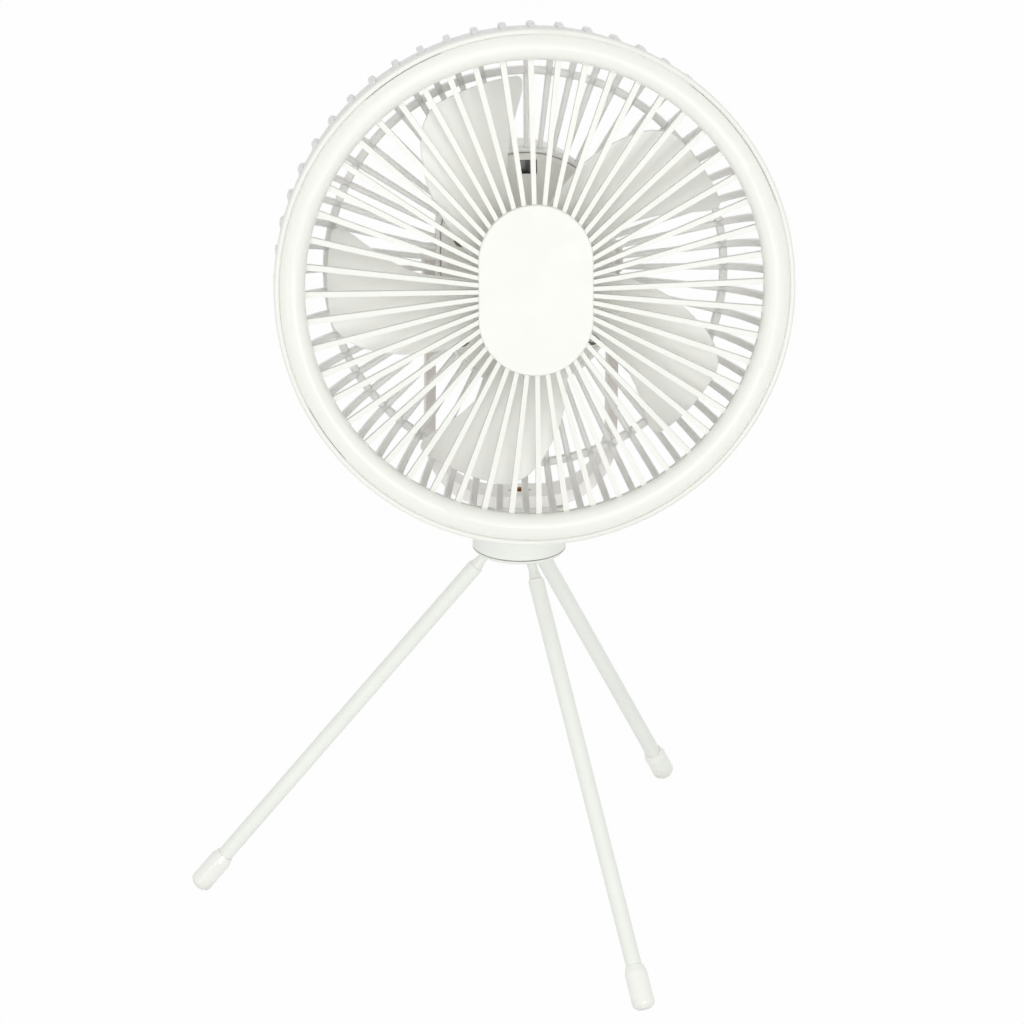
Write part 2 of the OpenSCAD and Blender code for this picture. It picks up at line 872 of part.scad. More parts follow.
// Front cover: rounded edge, lip into the shell, motor turret, window, screw recesses
module front_cover() {
    turret_r = motor_r + fit + turret_wall;
    color(shade_white)
        head_frame()
            difference() {
                union() {
                    translate([0, 0, housing_front + seam])
                        stadium_body(housing_r, housing_half_h)
                            cover_profile(housing_r, cover_t - seam, cover_edge_r);
                    translate([0, 0, housing_front - lip_l])
                        linear_extrude(lip_l + seam + eps)
                            cover_lip(cover_screw_xy);
                    translate([0, 0, housing_front + seam])
                        rotate_extrude()
                            cover_profile(turret_r, turret_front - housing_front - seam, 1);
                }
                translate([0, 0, housing_front])
                    cylinder(r = motor_r + fit, h = motor_front + fit - housing_front);
                translate([0, 0, motor_front])
                    cylinder(r = nose_r + 0.3, h = nose_l + 1);
                translate([ir_x - ir_w / 2, ir_y - ir_h / 2, housing_front - lip_l - 1])
                    cube([ir_w, ir_h, lip_l + cover_t + 2]);
                for (p = cover_screw_xy) {
                    translate([p[0], p[1], front_face - recess_depth])
                        cylinder(r = recess_r, h = recess_depth + 1, $fn = fn_small);
                    translate([p[0], p[1], housing_front - 1])
                        cylinder(r = screw_r + fit, h = cover_t + 2, $fn = fn_small);
                }
            }
}

// Outline of a cover's lip, inside the shell's wall and broken at the screw posts
module cover_lip(posts) {
    gap = 0.15;
    lip_r = housing_inner_r - gap;
    lip_half_h = housing_half_h - housing_wall - gap;
    difference() {
        stadium(lip_r, lip_half_h);
        stadium(lip_r - lip_t, lip_half_h - lip_t);
        for (p = posts)
            translate(p)
                circle(post_r + gap);
    }
}

// Glossy window over the infrared receiver
module ir_window() {
    gap = 0.1;
    color("black")
        head_frame()
            translate([ir_x - ir_w / 2 + gap, ir_y - ir_h / 2 + gap, ir_window_front - ir_window_t])
                cube([ir_w - 2 * gap, ir_h - 2 * gap, ir_window_t]);
}

// Infrared receiver on its own small board
module ir_receiver() {
    color("darkgreen")
        head_frame()
            translate([
                ir_x - ir_part[0] / 2,
                ir_y - ir_part[1] / 2,
                ir_window_front - ir_window_t - fit - ir_part[2]
            ])
                cube(ir_part);
}

// One screw: a head with a shank behind it, along -z
module cover_screw() {
    translate([0, 0, -screw_head_t])
        cylinder(r = screw_head_r, h = screw_head_t, $fn = fn_small);
    translate([0, 0, -screw_head_t - screw_l])
        cylinder(r = screw_r, h = screw_l + eps, $fn = fn_small);
}

module cover_screws() {
    color("dimgray")
        head_frame()
            for (p = cover_screw_xy)
                translate([p[0], p[1], front_face - recess_depth + screw_head_t + fit])
                    cover_screw();
}

// Shell between the covers: wall, partition, screw posts, pivot bosses, guard ledge
module housing_shell() {
    ledge_t = 2;
    ledge_w = 2;
    wire_slot_w = 12;
    wire_slot_h = 4;
    wire_slot_y = housing_half_h - 14;
    color(shade_white)
        head_frame()
            difference() {
                union() {
                    translate([0, 0, -housing_back])
                        linear_extrude(housing_front + housing_back)
                            difference() {
                                stadium(housing_r, housing_half_h);
                                stadium(housing_inner_r, housing_half_h - housing_wall);
                            }
                    translate([0, 0, partition_front - partition_t])
                        linear_extrude(partition_t)
                            stadium(housing_r - 1, housing_half_h - 1);
                    translate([0, 0, guard_back - ledge_t - fit])
                        linear_extrude(ledge_t)
                            difference() {
                                stadium(housing_r + ledge_w, housing_half_h + ledge_w);
                                stadium(housing_r - 1, housing_half_h - 1);
                            }
                    for (p = cover_screw_xy)
                        translate([p[0], p[1], partition_front - eps])
                            cylinder(r = post_r, h = housing_front - partition_front + eps);
                    for (p = back_screw_xy)
                        translate([p[0], p[1], -housing_back])
                            cylinder(r = post_r, h = partition_front - partition_t + housing_back + eps);
                    for (side = [-1, 1])
                        translate([side * (housing_r - boss_l / 2), 0, 0])
                            rotate([0, 90, 0])
                                cylinder(r = boss_r, h = boss_l, center = true);
                }
                for (side = [-1, 1])
                    translate([side * housing_r, 0, 0])
                        rotate([0, 90, 0])
                            cylinder(r = insert_outer_r + fit, h = 2 * boss_l + 1, center = true);
                for (p = cover_screw_xy)
                    translate([p[0], p[1], housing_front - screw_l])
                        cylinder(r = screw_r + fit, h = screw_l + 1, $fn = fn_small);
                for (p = back_screw_xy)
                    translate([p[0], p[1], -housing_back - 1])
                        cylinder(r = screw_r + fit, h = screw_l + 1, $fn = fn_small);
                translate([-wire_slot_w / 2, wire_slot_y, partition_front - partition_t - 1])
                    cube([wire_slot_w, wire_slot_h, partition_t + 2]);
            }
}

// Back cover with the buttons, the charging port, the lamps and the screws
module back_cover() {
    lip_reach = 1.6;
    flange_pocket = 1.2;
    mouth_gap = 0.2;
    color(shade_white)
        head_frame()
            difference() {
                union() {
                    translate([0, 0, -housing_back - seam])
                        mirror([0, 0, 1])
                            stadium_body(housing_r, housing_half_h)
                                cover_profile(housing_r, cover_t - seam, cover_edge_r);
                    translate([0, 0, -housing_back - seam - eps])
                        linear_extrude(lip_reach + seam)
                            cover_lip(back_screw_xy);
                }
                for (side = [-1, 1])
                    translate([side * button_x, button_y, back_face - 1])
                        cylinder(r = button_r + slide_fit, h = cover_t + 2, $fn = 48);
                for (side = [-1, 1])
                    translate([side * button_x, button_y, -housing_back - seam - flange_pocket])
                        cylinder(r = button_r + flange_pocket, h = 4, $fn = 48);
                translate([-usb_w / 2 - mouth_gap, usb_y - usb_h / 2 - mouth_gap, back_face - 1])
                    cube([usb_w + 2 * mouth_gap, usb_h + 2 * mouth_gap, cover_t + 2]);
                for (i = [0 : lens_count - 1])
                    translate([(i - (lens_count - 1) / 2) * lens_pitch, lens_y, back_face - 1])
                        cylinder(r = lens_r + fit, h = cover_t + 2, $fn = fn_small);
                for (p = back_screw_xy) {
                    translate([p[0], p[1], back_face - 1])
                        cylinder(r = recess_r, h = recess_depth + 1, $fn = fn_small);
                    translate([p[0], p[1], back_face])
                        cylinder(r = screw_r + fit, h = cover_t + 2, $fn = fn_small);
                }
            }
}

module back_screws() {
    color("dimgray")
        head_frame()
            for (p = back_screw_xy)
                translate([p[0], p[1], back_face + recess_depth - screw_head_t - fit])
                    mirror([0, 0, 1])
                        cover_screw();
}

// Pivot screws: a round head outside the arm and a smooth shank into the insert
module pivot_screws() {
    shank_l = arm_outer - housing_r + boss_l - 1.6;
    color("silver")
        head_frame()
            for (side = [0, 1])
                mirror([side, 0, 0])
                    translate([arm_outer + fit, 0, 0])
                        rotate([0, 90, 0]) {
                            cylinder(r1 = pivot_head_r, r2 = pivot_head_r - 0.8, h = pivot_head_t);
                            translate([0, 0, -shank_l])
                                cylinder(r = pivot_r, h = shank_l + eps);
                        }
}

// Friction washers between the housing and the arms
module pivot_washers() {
    gap = 0.12;
    color("dimgray")
        head_frame()
            for (side = [0, 1])
                mirror([side, 0, 0])
                    translate([housing_r, 0, 0])
                        rotate([0, 90, 0])
                            difference() {
                                cylinder(r = washer_r, h = arm_gap - gap);
                                translate([0, 0, -1])
                                    cylinder(r = pivot_r + fit, h = arm_gap + 2);
                            }
}

// Brass inserts in the housing's bosses
insert_outer_r = pivot_r + 1.5;
module pivot_inserts() {
    color("goldenrod")
        head_frame()
            for (side = [0, 1])
                mirror([side, 0, 0])
                    translate([housing_r - boss_l, 0, 0])
                        rotate([0, 90, 0])
                            difference() {
                                cylinder(r = insert_outer_r, h = boss_l);
                                translate([0, 0, -1])
                                    cylinder(r = pivot_r + fit, h = boss_l + 2);
                            }
}

// ---------------------------------------------------------------- motor

// Motor case: a can in the turret, with a nose through it and a bearing seat at each end
module motor_case() {
    can_wall = 1;
    color("silver")
        head_frame()
            difference() {
                union() {
                    translate([0, 0, motor_back])
                        cylinder(r = motor_r, h = motor_l);
                    translate([0, 0, motor_front - eps])
                        cylinder(r = nose_r, h = nose_l + eps);
                }
                translate([0, 0, motor_back + motor_end_t + bearing_t])
                    cylinder(r = motor_r - can_wall, h = motor_l - 2 * motor_end_t - bearing_t);
                translate([0, 0, motor_front - motor_end_t - 1])
                    cylinder(r = bearing_r + fit, h = motor_end_t + nose_l + 2);
                translate([0, 0, motor_back + motor_end_t])
                    cylinder(r = bearing_r + fit, h = bearing_t + 1);
            }
}

// Stator: an iron ring with coil blocks round the magnet
module motor_stator() {
    slot = [3.6, 1.6];
    air_gap = 0.5;
    bore_r = magnet_r + air_gap;
    stator_l = motor_l - winding_back - winding_front;
    color("peru")
        head_frame()
            translate([0, 0, motor_back + winding_back])
                difference() {
                    cylinder(r = motor_r - 1 - fit, h = stator_l);
                    translate([0, 0, -1])
                        cylinder(r = bore_r, h = stator_l + 2);
                    for (i = [0 : 5])
                        rotate(i * 60)
                            translate([bore_r - 1, -slot[1] / 2, -1])
                                cube([slot[0], slot[1], stator_l + 2]);
                }
}

// Two bearings of the shaft
module motor_bearings() {
    color("silver")
        head_frame()
            for (z = [motor_back + motor_end_t, motor_front + nose_l - bearing_t])
                translate([0, 0, z])
                    difference() {
                        cylinder(r = bearing_r, h = bearing_t);
                        translate([0, 0, -1])
                            cylinder(r = shaft_r + fit, h = bearing_t + 2);
                    }
}

// Shaft from the back bearing to the impeller's nut
module motor_shaft() {
    shaft_back = motor_back + motor_end_t + 0.4;
    shaft_front = hub_front + 5;
    color("silver")
        head_frame()
            translate([0, 0, shaft_back])
                cylinder(r = shaft_r, h = shaft_front - shaft_back, $fn = fn_small);
}

// Rotor magnet on the shaft
module rotor_magnet() {
    end_gap = 0.5;
    magnet_l = motor_l - winding_back - winding_front - 2 * end_gap;
    color("dimgray")
        head_frame()
            translate([0, 0, motor_back + winding_back + end_gap])
                difference() {
                    cylinder(r = magnet_r, h = magnet_l);
                    translate([0, 0, -1])
                        cylinder(r = shaft_r, h = magnet_l + 2);
                }
}

// ---------------------------------------------------------------- impeller

// Outline of a blade: [share of the way from hub to tip, share of the chord]
blade_outline = [
    [-0.06, -0.06],
    [0.4, -0.1],
    [0.8, -0.38],
    [0.89, -0.42],
    [0.96, -0.39],
    [1.05, -0.24],
    [1.05, 0.1],
    [0.97, 0.27],
    [0.88, 0.4],
    [0.66, 0.49],
    [0.4, 0.52],
    [-0.1, 0.3]
];

// Cambered sheet of one blade, seen along its centre line
module camber_section() {
    half = blade_chord * 0.54;
    r = (half * half + blade_camber * blade_camber) / (2 * blade_camber);
    pitch = atan(blade_depth / 2 / half);
    translate([0, blade_mid])
        rotate(pitch)
            translate([0, blade_camber * 0.6 - r])
                difference() {
                    circle(r + blade_t / 2, $fn = 256);
                    circle(r - blade_t / 2, $fn = 256);
                }
}

module blade() {
    span = blade_tip_r - hub_r;
    intersection() {
        rotate([90, 0, 90])
            linear_extrude(blade_tip_r + 1)
                intersection() {
                    camber_section();
                    translate([-blade_chord, blade_back])
                        square([2 * blade_chord, blade_depth]);
                }
        translate([0, 0, blade_back - 1])
            linear_extrude(blade_depth + 2)
                intersection() {
                    circle(blade_tip_r);
                    polygon([for (p = blade_outline) [hub_r + p[0] * span, p[1] * blade_chord]]);
                }
    }
}

// Impeller: a cup-shaped hub with a boss on the shaft, and the blades
module impeller() {
    hub_wall = 1.8;
    boss = 4.5;
    color(shade_white)
        head_frame()
            difference() {
                union() {
                    difference() {
                        translate([0, 0, hub_back])
                            rotate_extrude()
                                cover_profile(hub_r, hub_front - hub_back, 3);
                        translate([0, 0, hub_back - 1])
                            cylinder(r = hub_r - hub_wall, h = hub_front - hub_back - hub_wall + 1);
                    }
                    translate([0, 0, hub_back])
                        cylinder(r = boss, h = hub_front - hub_back - 1);
                    for (i = [0 : blade_count - 1])
                        rotate(blade_start + i * 360 / blade_count)
                            difference() {
                                blade();
                                translate([0, 0, blade_back - 1])
                                    cylinder(r = hub_r - hub_wall / 2, h = blade_depth + 2);
                            }
                }
                translate([0, 0, hub_back - 1])
                    cylinder(r = shaft_r, h = hub_front - hub_back + 2, $fn = fn_small);
            }
}

// Nut that holds the impeller on its shaft
module impeller_nut() {
    nut_t = 3;
    color("silver")
        head_frame()
            translate([0, 0, hub_front])
                difference() {
                    cylinder(r = 3.4, h = nut_t, $fn = 6);
                    translate([0, 0, -1])
                        cylinder(r = shaft_r, h = nut_t + 2, $fn = fn_small);
                }
}

// ---------------------------------------------------------------- battery and board

module battery_cells() {
    color("steelblue")
        head_frame()
            for (side = [-1, 1])
                translate([side * (cell_r + 0.3), 0, cell_z])
                    rotate([90, 0, 0])
                        cylinder(r = cell_r, h = cell_l, center = true);
}

// Tray that the cells lie in, screwed to the partition
module battery_holder() {
    wall = 1.2;
    tray_w = 4 * cell_r + 0.6;
    tray_back = cell_z - 2;
    tray_front = partition_front - partition_t - fit;
    color("dimgray")
        head_frame()
            difference() {
                translate([-tray_w / 2 - wall, -cell_l / 2 - wall - 0.3, tray_back])
                    cube([tray_w + 2 * wall, cell_l + 2 * wall + 0.6, tray_front - tray_back]);
                for (side = [-1, 1])
                    translate([side * (cell_r + 0.3), 0, cell_z])
                        rotate([90, 0, 0])
                            cylinder(r = cell_r + 0.1, h = cell_l + 0.4, center = true);
                translate([-tray_w / 2, -cell_l / 2 - 0.2, tray_back - 1])
                    cube([tray_w, cell_l + 0.4, cell_z - tray_back + 1]);
            }
}

module main_board() {
    color("darkgreen")
        head_frame()
            translate([0, 0, board_z])
                difference() {
                    translate([-board_w / 2, board_bottom, 0])
                        cube([board_w, board_top - board_bottom, board_t]);
                    for (p = back_screw_xy)
                        translate([p[0], p[1], -1])
                            cylinder(r = post_r + 0.3, h = board_t + 2);
                }
}

// Coil and charging chip on the board's end, between the screw posts
module board_parts() {
    coil = [4.6, 3.4, 2.6];
    chip = [4, 3, 1.2];
    edge_gap = 0.4;
    color("dimgray")
        head_frame()
            translate([0, board_bottom + edge_gap, board_z + board_t]) {
                translate([-coil[0] - 1, 0, 0])
                    cube(coil);
                translate([1, 0, 0])
                    cube(chip);
            }
}

// Tact switches under the buttons
module button_switches() {
    switch_w = 5.2;
    color("black")
        head_frame()
            for (side = [-1, 1])
                translate([side * button_x - switch_w / 2, button_y - switch_w / 2, board_z - switch_t])
                    cube([switch_w, switch_w, switch_t]);
}

// Push button: a cap through the back cover and a flange behind it
module push_button(side) {
    flange_t = 0.8;
    flange_back = -housing_back - seam - 1.2 + fit;
    stem_r = 1.2;
    stem_front = board_z - switch_t - button_travel - 0.1;
    cap_front = back_face - button_proud;
    cap_edge = 0.5;
    color(warm_white)
        head_frame()
            translate([side * button_x, button_y, 0])
                rotate_extrude($fn = 48)
                    polygon([
                        [0, cap_front],
                        [button_r - cap_edge, cap_front],
                        [button_r, cap_front + cap_edge],
                        [button_r, flange_back],
                        [button_r + 0.8, flange_back],
                        [button_r + 0.8, flange_back + flange_t],
                        [stem_r, flange_back + flange_t],
                        [stem_r, stem_front],
                        [0, stem_front]
                    ]);
}

module power_button() {
    push_button(1);
}

module light_button() {
    push_button(-1);
}

// Charging socket: a metal shell with a tongue in it
module usb_socket() {
    shell_t = 0.4;
    mouth_depth = 0.8;
    tongue = [6, 0.7];
    socket_l = board_z - back_face - mouth_depth;
    color("silver")
        head_frame()
            translate([0, usb_y, back_face + mouth_depth])
                difference() {
                    translate([-usb_w / 2, -usb_h / 2, 0])
                        cube([usb_w, usb_h, socket_l]);
                    difference() {
                        translate([-usb_w / 2 + shell_t, -usb_h / 2 + shell_t, -1])
                            cube([usb_w - 2 * shell_t, usb_h - 2 * shell_t, socket_l - 0.4]);
                        translate([-tongue[0] / 2, -tongue[1] / 2, -0.5])
                            cube([tongue[0], tongue[1], socket_l + 1]);
                    }
                }
}

// Four lamps that show the charge
module indicator_lenses() {
    color("lightcyan")
        head_frame()
            for (i = [0 : lens_count - 1])
                translate([(i - (lens_count - 1) / 2) * lens_pitch, lens_y, back_face])
                    cylinder(r = lens_r, h = board_z - back_face, $fn = fn_small);
}

// ---------------------------------------------------------------- the fan

tripod_hub();
leg_pins();
swivel_washer();
swivel_nut();
leg_tube(0);  // leg_left_tube
leg_knuckle(0);  // leg_left_knuckle
leg_foot(0);  // leg_left_foot
leg_tube(1);  // leg_front_tube
leg_knuckle(1);  // leg_front_knuckle
leg_foot(1);  // leg_front_foot
leg_tube(2);  // leg_rear_tube
leg_knuckle(2);  // leg_rear_knuckle
leg_foot(2);  // leg_rear_foot
swivel_cup();
tripod_screw();
bracket();
bracket_insert();
insert_screws();
bezel_ring();
light_diffuser();
led_board();
led_chips();
front_grille();
rear_guard();
front_cover();
ir_window();
ir_receiver();
cover_screws();
housing_shell();
back_cover();
back_screws();
pivot_screws();
pivot_washers();
pivot_inserts();
motor_case();
motor_stator();
motor_bearings();
battery_cells();
battery_holder();
main_board();
board_parts();
button_switches();
usb_socket();
indicator_lenses();
power_button();
light_button();
impeller();
motor_shaft();
rotor_magnet();
impeller_nut();
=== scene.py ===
import math

import bmesh
import bpy
from mathutils import Matrix, Vector


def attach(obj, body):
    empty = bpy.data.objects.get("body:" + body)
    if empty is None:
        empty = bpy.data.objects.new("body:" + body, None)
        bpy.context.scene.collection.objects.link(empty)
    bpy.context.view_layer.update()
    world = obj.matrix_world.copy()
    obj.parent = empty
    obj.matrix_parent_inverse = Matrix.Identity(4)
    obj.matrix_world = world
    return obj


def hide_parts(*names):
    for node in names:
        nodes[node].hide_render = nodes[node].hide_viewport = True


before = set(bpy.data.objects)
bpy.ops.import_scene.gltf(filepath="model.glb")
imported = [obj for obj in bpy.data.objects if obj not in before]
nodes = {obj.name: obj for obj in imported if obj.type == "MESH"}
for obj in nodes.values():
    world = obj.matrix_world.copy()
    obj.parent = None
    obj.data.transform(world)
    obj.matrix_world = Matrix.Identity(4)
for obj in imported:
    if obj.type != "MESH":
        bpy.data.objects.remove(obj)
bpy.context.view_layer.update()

# ---------------------------------------------------------------- camera
# A long lens from a little above and slightly to the left, rolled a touch, so that the
# whole fan stands in the square frame. Its focal length follows from the fan's scale.

azimuth, elevation, roll = math.radians(-4.05), math.radians(21.1), math.radians(0.53)
camera_distance = 2.6
frame_pixels = 1024
pixels_per_metre = 2428
aim_aside, aim_height = -0.0031, 0.16807

back = Vector((
    math.sin(azimuth) * math.cos(elevation),
    -math.cos(azimuth) * math.cos(elevation),
    math.sin(elevation),
))
level = Vector((math.cos(azimuth), math.sin(azimuth), 0))
upright = back.cross(level)
right = level * math.cos(roll) + upright * math.sin(roll)
up = upright * math.cos(roll) - level * math.sin(roll)
target = level * aim_aside + Vector((0, 0, aim_height))
eye = target + back * camera_distance

camera_data = bpy.data.cameras.new("long_lens")
camera_data.sensor_width = 36
camera_data.lens = (
    pixels_per_metre * camera_distance / frame_pixels * camera_data.sensor_width
)
camera_data.clip_start = 0.1
camera_data.clip_end = 60
camera = bpy.data.objects.new("long_lens", camera_data)
bpy.context.scene.collection.objects.link(camera)
camera.matrix_world = Matrix((
    (right.x, up.x, back.x, eye.x),
    (right.y, up.y, back.y, eye.y),
    (right.z, up.z, back.z, eye.z),
    (0, 0, 0, 1),
))
bpy.context.scene.camera = camera

# ---------------------------------------------------------------- tripod legs
# Thin steel tubes with a neck at the top, powder coated in a satin white. The coat has
# a faint orange peel of about a millimetre and is a little smoother on its crests.


def linear(code):
    """An sRGB hex colour as the linear colour of a node's socket."""
    parts = []
    for start in (0, 2, 4):
        share = int(code[start:start + 2], 16) / 255
        if share <= 0.04045:
            parts.append(share / 12.92)
        else:
            parts.append(((share + 0.055) / 1.055) ** 2.4)
    return (*parts, 1.0)


def add_node(tree, kind, sockets=None, **settings):
    """Adds a node. A socket takes a value, or a (node, output) pair to link from."""
    node = tree.nodes.new("ShaderNode" + kind)
    for name, value in settings.items():
        setattr(node, name, value)
    for name, value in (sockets or {}).items():
        if isinstance(value, tuple) and isinstance(value[0], bpy.types.Node):
            tree.links.new(value[0].outputs[value[1]], node.inputs[name])
        else:
            node.inputs[name].default_value = value
    return node


def new_finish(name):
    """An empty node material, its tree and the object's own coordinates."""
    finish = bpy.data.materials.new(name)
    finish.use_nodes = True
    tree = finish.node_tree
    tree.nodes.clear()
    coords = add_node(tree, "TexCoord")
    return finish, tree, coords


def close_finish(tree, shader):
    """Links a finish's shader to its output."""
    add_node(tree, "OutputMaterial", {"Surface": (shader, 0)})


def dress(finish, *names):
    """Puts a finish on CAD nodes, in their material slots."""
    for name in names:
        for slot in nodes[name].material_slots:
            slot.material = finish


def per_mm(millimetres):
    """Scale of a pattern whose features are that far apart."""
    return 1000 / millimetres


def powder_coat(name, crest, valley):
    """Baked powder: an orange peel in the gloss, and clouds of 24 mm in the tone."""
    finish, tree, coords = new_finish(name)
    peel = add_node(tree, "TexNoise", {
        "Vector": (coords, "Object"), "Scale": per_mm(1.1), "Detail": 2.0, "Roughness": 0.45,
    })
    cloud = add_node(tree, "TexNoise", {
        "Vector": (coords, "Object"), "Scale": per_mm(24), "Detail": 3.0, "Roughness": 0.6,
    })
    tone = add_node(tree, "Mix", {
        0: (cloud, 0), 6: linear(valley), 7: linear(crest),
    }, data_type="RGBA")
    gloss = add_node(tree, "MapRange", {
        "Value": (peel, 0), "From Min": 0.3, "From Max": 0.7, "To Min": 0.34, "To Max": 0.44,
    })
    relief = add_node(tree, "Bump", {
        "Height": (peel, 0), "Strength": 0.12, "Distance": 0.00004,
    })
    close_finish(tree, add_node(tree, "BsdfPrincipled", {
        "Base Color": (tone, 2), "Roughness": (gloss, 0), "Normal": (relief, 0),
        "IOR": 1.5, "Coat Weight": 0.15, "Coat Roughness": 0.25,
    }))
    return finish


dress(
    powder_coat("powder_coated_steel", crest="f0f2ec", valley="eaede6"),
    "leg_left_tube", "leg_front_tube", "leg_rear_tube",
    "leg_left_knuckle", "leg_front_knuckle", "leg_rear_knuckle",
)

# ---------------------------------------------------------------- foot caps
# Caps of soft white vinyl, dipped and pushed over the tubes. They are glossier than the
# coat on the tubes, and their tips are slightly scuffed where they stand.

scuffed_height = 0.006

vinyl, tree, coords = new_finish("dipped_vinyl")
place = add_node(tree, "SeparateXYZ", {"Vector": (coords, "Object")})
near_floor = add_node(tree, "MapRange", {
    "Value": (place, "Z"), "From Min": 0.0, "From Max": scuffed_height,
    "To Min": 1.0, "To Max": 0.0,
})
scuff = add_node(tree, "TexNoise", {
    "Vector": (coords, "Object"), "Scale": per_mm(0.8), "Detail": 4.0, "Roughness": 0.7,
})
wear = add_node(tree, "Math", {0: (near_floor, 0), 1: (scuff, 0)}, operation="MULTIPLY")
tone = add_node(tree, "Mix", {
    0: (wear, 0), 6: linear("eff1ea"), 7: linear("d6d7cf"),
}, data_type="RGBA")
gloss = add_node(tree, "MapRange", {
    "Value": (wear, 0), "From Min": 0.0, "From Max": 0.6, "To Min": 0.16, "To Max": 0.55,
})
ripple = add_node(tree, "TexNoise", {
    "Vector": (coords, "Object"), "Scale": per_mm(5), "Detail": 1.0,
})
relief = add_node(tree, "Bump", {
    "Height": (ripple, 0), "Strength": 0.05, "Distance": 0.0001,
})
close_finish(tree, add_node(tree, "BsdfPrincipled", {
    "Base Color": (tone, 2), "Roughness": (gloss, 0), "Normal": (relief, 0), "IOR": 1.53,
    "Coat Weight": 0.4, "Coat Roughness": 0.08,
}))
dress(vinyl, "leg_left_foot", "leg_front_foot", "leg_rear_foot")

# ---------------------------------------------------------------- tripod head and swivel
# A slotted core and a cup over it, both moulded in white ABS from a spark-eroded tool,
# which leaves a fine even grain. The grain is drawn at 0.35 mm so that it shows at all.


def moulded(name, light, dark, grain, low_gloss, high_gloss, glow=0.0):
    """A moulded plastic: its grain in millimetres, clouds of 38 mm in the tone, patches of
    9 mm in the gloss as from hands, and the light that goes in and comes out again."""
    finish, tree, coords = new_finish(name)
    skin = add_node(tree, "TexNoise", {
        "Vector": (coords, "Object"), "Scale": per_mm(grain), "Detail": 2.0,
        "Roughness": 0.5,
    })
    cloud = add_node(tree, "TexNoise", {
        "Vector": (coords, "Object"), "Scale": per_mm(38), "Detail": 4.0, "Roughness": 0.55,
    })
    tone = add_node(tree, "Mix", {
        0: (cloud, 0), 6: linear(dark), 7: linear(light),
    }, data_type="RGBA")
    handled = add_node(tree, "TexNoise", {
        "Vector": (coords, "Object"), "Scale": per_mm(9), "Detail": 3.0, "Roughness": 0.6,
    })
    gloss = add_node(tree, "MapRange", {
        "Value": (handled, 0), "From Min": 0.3, "From Max": 0.7,
        "To Min": low_gloss, "To Max": high_gloss,
    })
    relief = add_node(tree, "Bump", {
        "Height": (skin, 0), "Strength": 0.14, "Distance": 0.00003,
    })
    close_finish(tree, add_node(tree, "BsdfPrincipled", {
        "Base Color": (tone, 2), "Roughness": (gloss, 0), "Normal": (relief, 0), "IOR": 1.53,
        "Subsurface Weight": glow, "Subsurface Radius": (1.0, 0.95, 0.85),
        "Subsurface Scale": 0.0012,
    }))
    return finish


tripod_abs = moulded(
    "grained_abs_tripod", "f4f6f1", "eef0ea", grain=0.35, low_gloss=0.36, high_gloss=0.46,
)
dress(tripod_abs, "tripod_hub", "swivel_cup")

# ---------------------------------------------------------------- pins, nut and screws
# Turned steel, zinc plated: a bluish grey with fine rings from the lathe and a slight
# mottle from the plating bath.


def plated_steel(name, bright, dull, roughness):
    """A turned and plated metal: marks of 0.4 mm in the gloss, a mottle of 3 mm."""
    finish, tree, coords = new_finish(name)
    turned = add_node(tree, "TexNoise", {
        "Vector": (coords, "Object"), "Scale": per_mm(0.4), "Detail": 3.0, "Roughness": 0.6,
    })
    mottle = add_node(tree, "TexNoise", {
        "Vector": (coords, "Object"), "Scale": per_mm(3), "Detail": 4.0, "Roughness": 0.65,
    })
    tone = add_node(tree, "Mix", {
        0: (mottle, 0), 6: linear(dull), 7: linear(bright),
    }, data_type="RGBA")
    gloss = add_node(tree, "MapRange", {
        "Value": (turned, 0), "From Min": 0.3, "From Max": 0.7,
        "To Min": roughness - 0.05, "To Max": roughness + 0.07,
    })
    relief = add_node(tree, "Bump", {
        "Height": (turned, 0), "Strength": 0.1, "Distance": 0.00002,
    })
    close_finish(tree, add_node(tree, "BsdfPrincipled", {
        "Base Color": (tone, 2), "Metallic": 1.0, "Roughness": (gloss, 0),
        "Normal": (relief, 0),
    }))
    return finish


dress(
    plated_steel("zinc_plated_steel", "c6c9cb", "a9adb0", roughness=0.28),
    "leg_pins", "swivel_washer", "swivel_nut", "tripod_screw", "motor_bearings",
    "motor_shaft", "impeller_nut",
)

# ---------------------------------------------------------------- bracket
# A U of white ABS on the camera screw. Its two arms carry the head between them. Their
# greyer tone above the foot is painted shade, from the head that hangs over them. A brass
# insert holds the thread, its threaded tip stands in the sight hole, and two small black
# screws keep it from turning.

foot_top, arm_bottom = 0.186, 0.21

bracket_abs, tree, coords = new_finish("grained_abs_bracket")
skin = add_node(tree, "TexNoise", {
    "Vector": (coords, "Object"), "Scale": per_mm(0.35), "Detail": 2.0, "Roughness": 0.5,
})
handled = add_node(tree, "TexNoise", {
    "Vector": (coords, "Object"), "Scale": per_mm(12), "Detail": 3.0, "Roughness": 0.6,
})
place = add_node(tree, "SeparateXYZ", {"Vector": (coords, "Object")})
# painted shade: over this height the tone turns from the foot's white to the arms' greyer
# brown
height = add_node(tree, "MapRange", {
    "Value": (place, "Z"), "From Min": foot_top, "From Max": arm_bottom,
})
painted_arm_shade = add_node(tree, "Mix", {
    0: (height, 0), 6: linear("fbfaf7"), 7: linear("d6cfc8"),
}, data_type="RGBA")
tone = add_node(tree, "Mix", {
    0: (handled, 0), 6: (painted_arm_shade, 2), 7: linear("ebe8e4"),
}, data_type="RGBA")
relief = add_node(tree, "Bump", {
    "Height": (skin, 0), "Strength": 0.14, "Distance": 0.00003,
})
close_finish(tree, add_node(tree, "BsdfPrincipled", {
    "Base Color": (tone, 2), "Roughness": 0.44, "Normal": (relief, 0), "IOR": 1.53,
}))
dress(bracket_abs, "bracket")

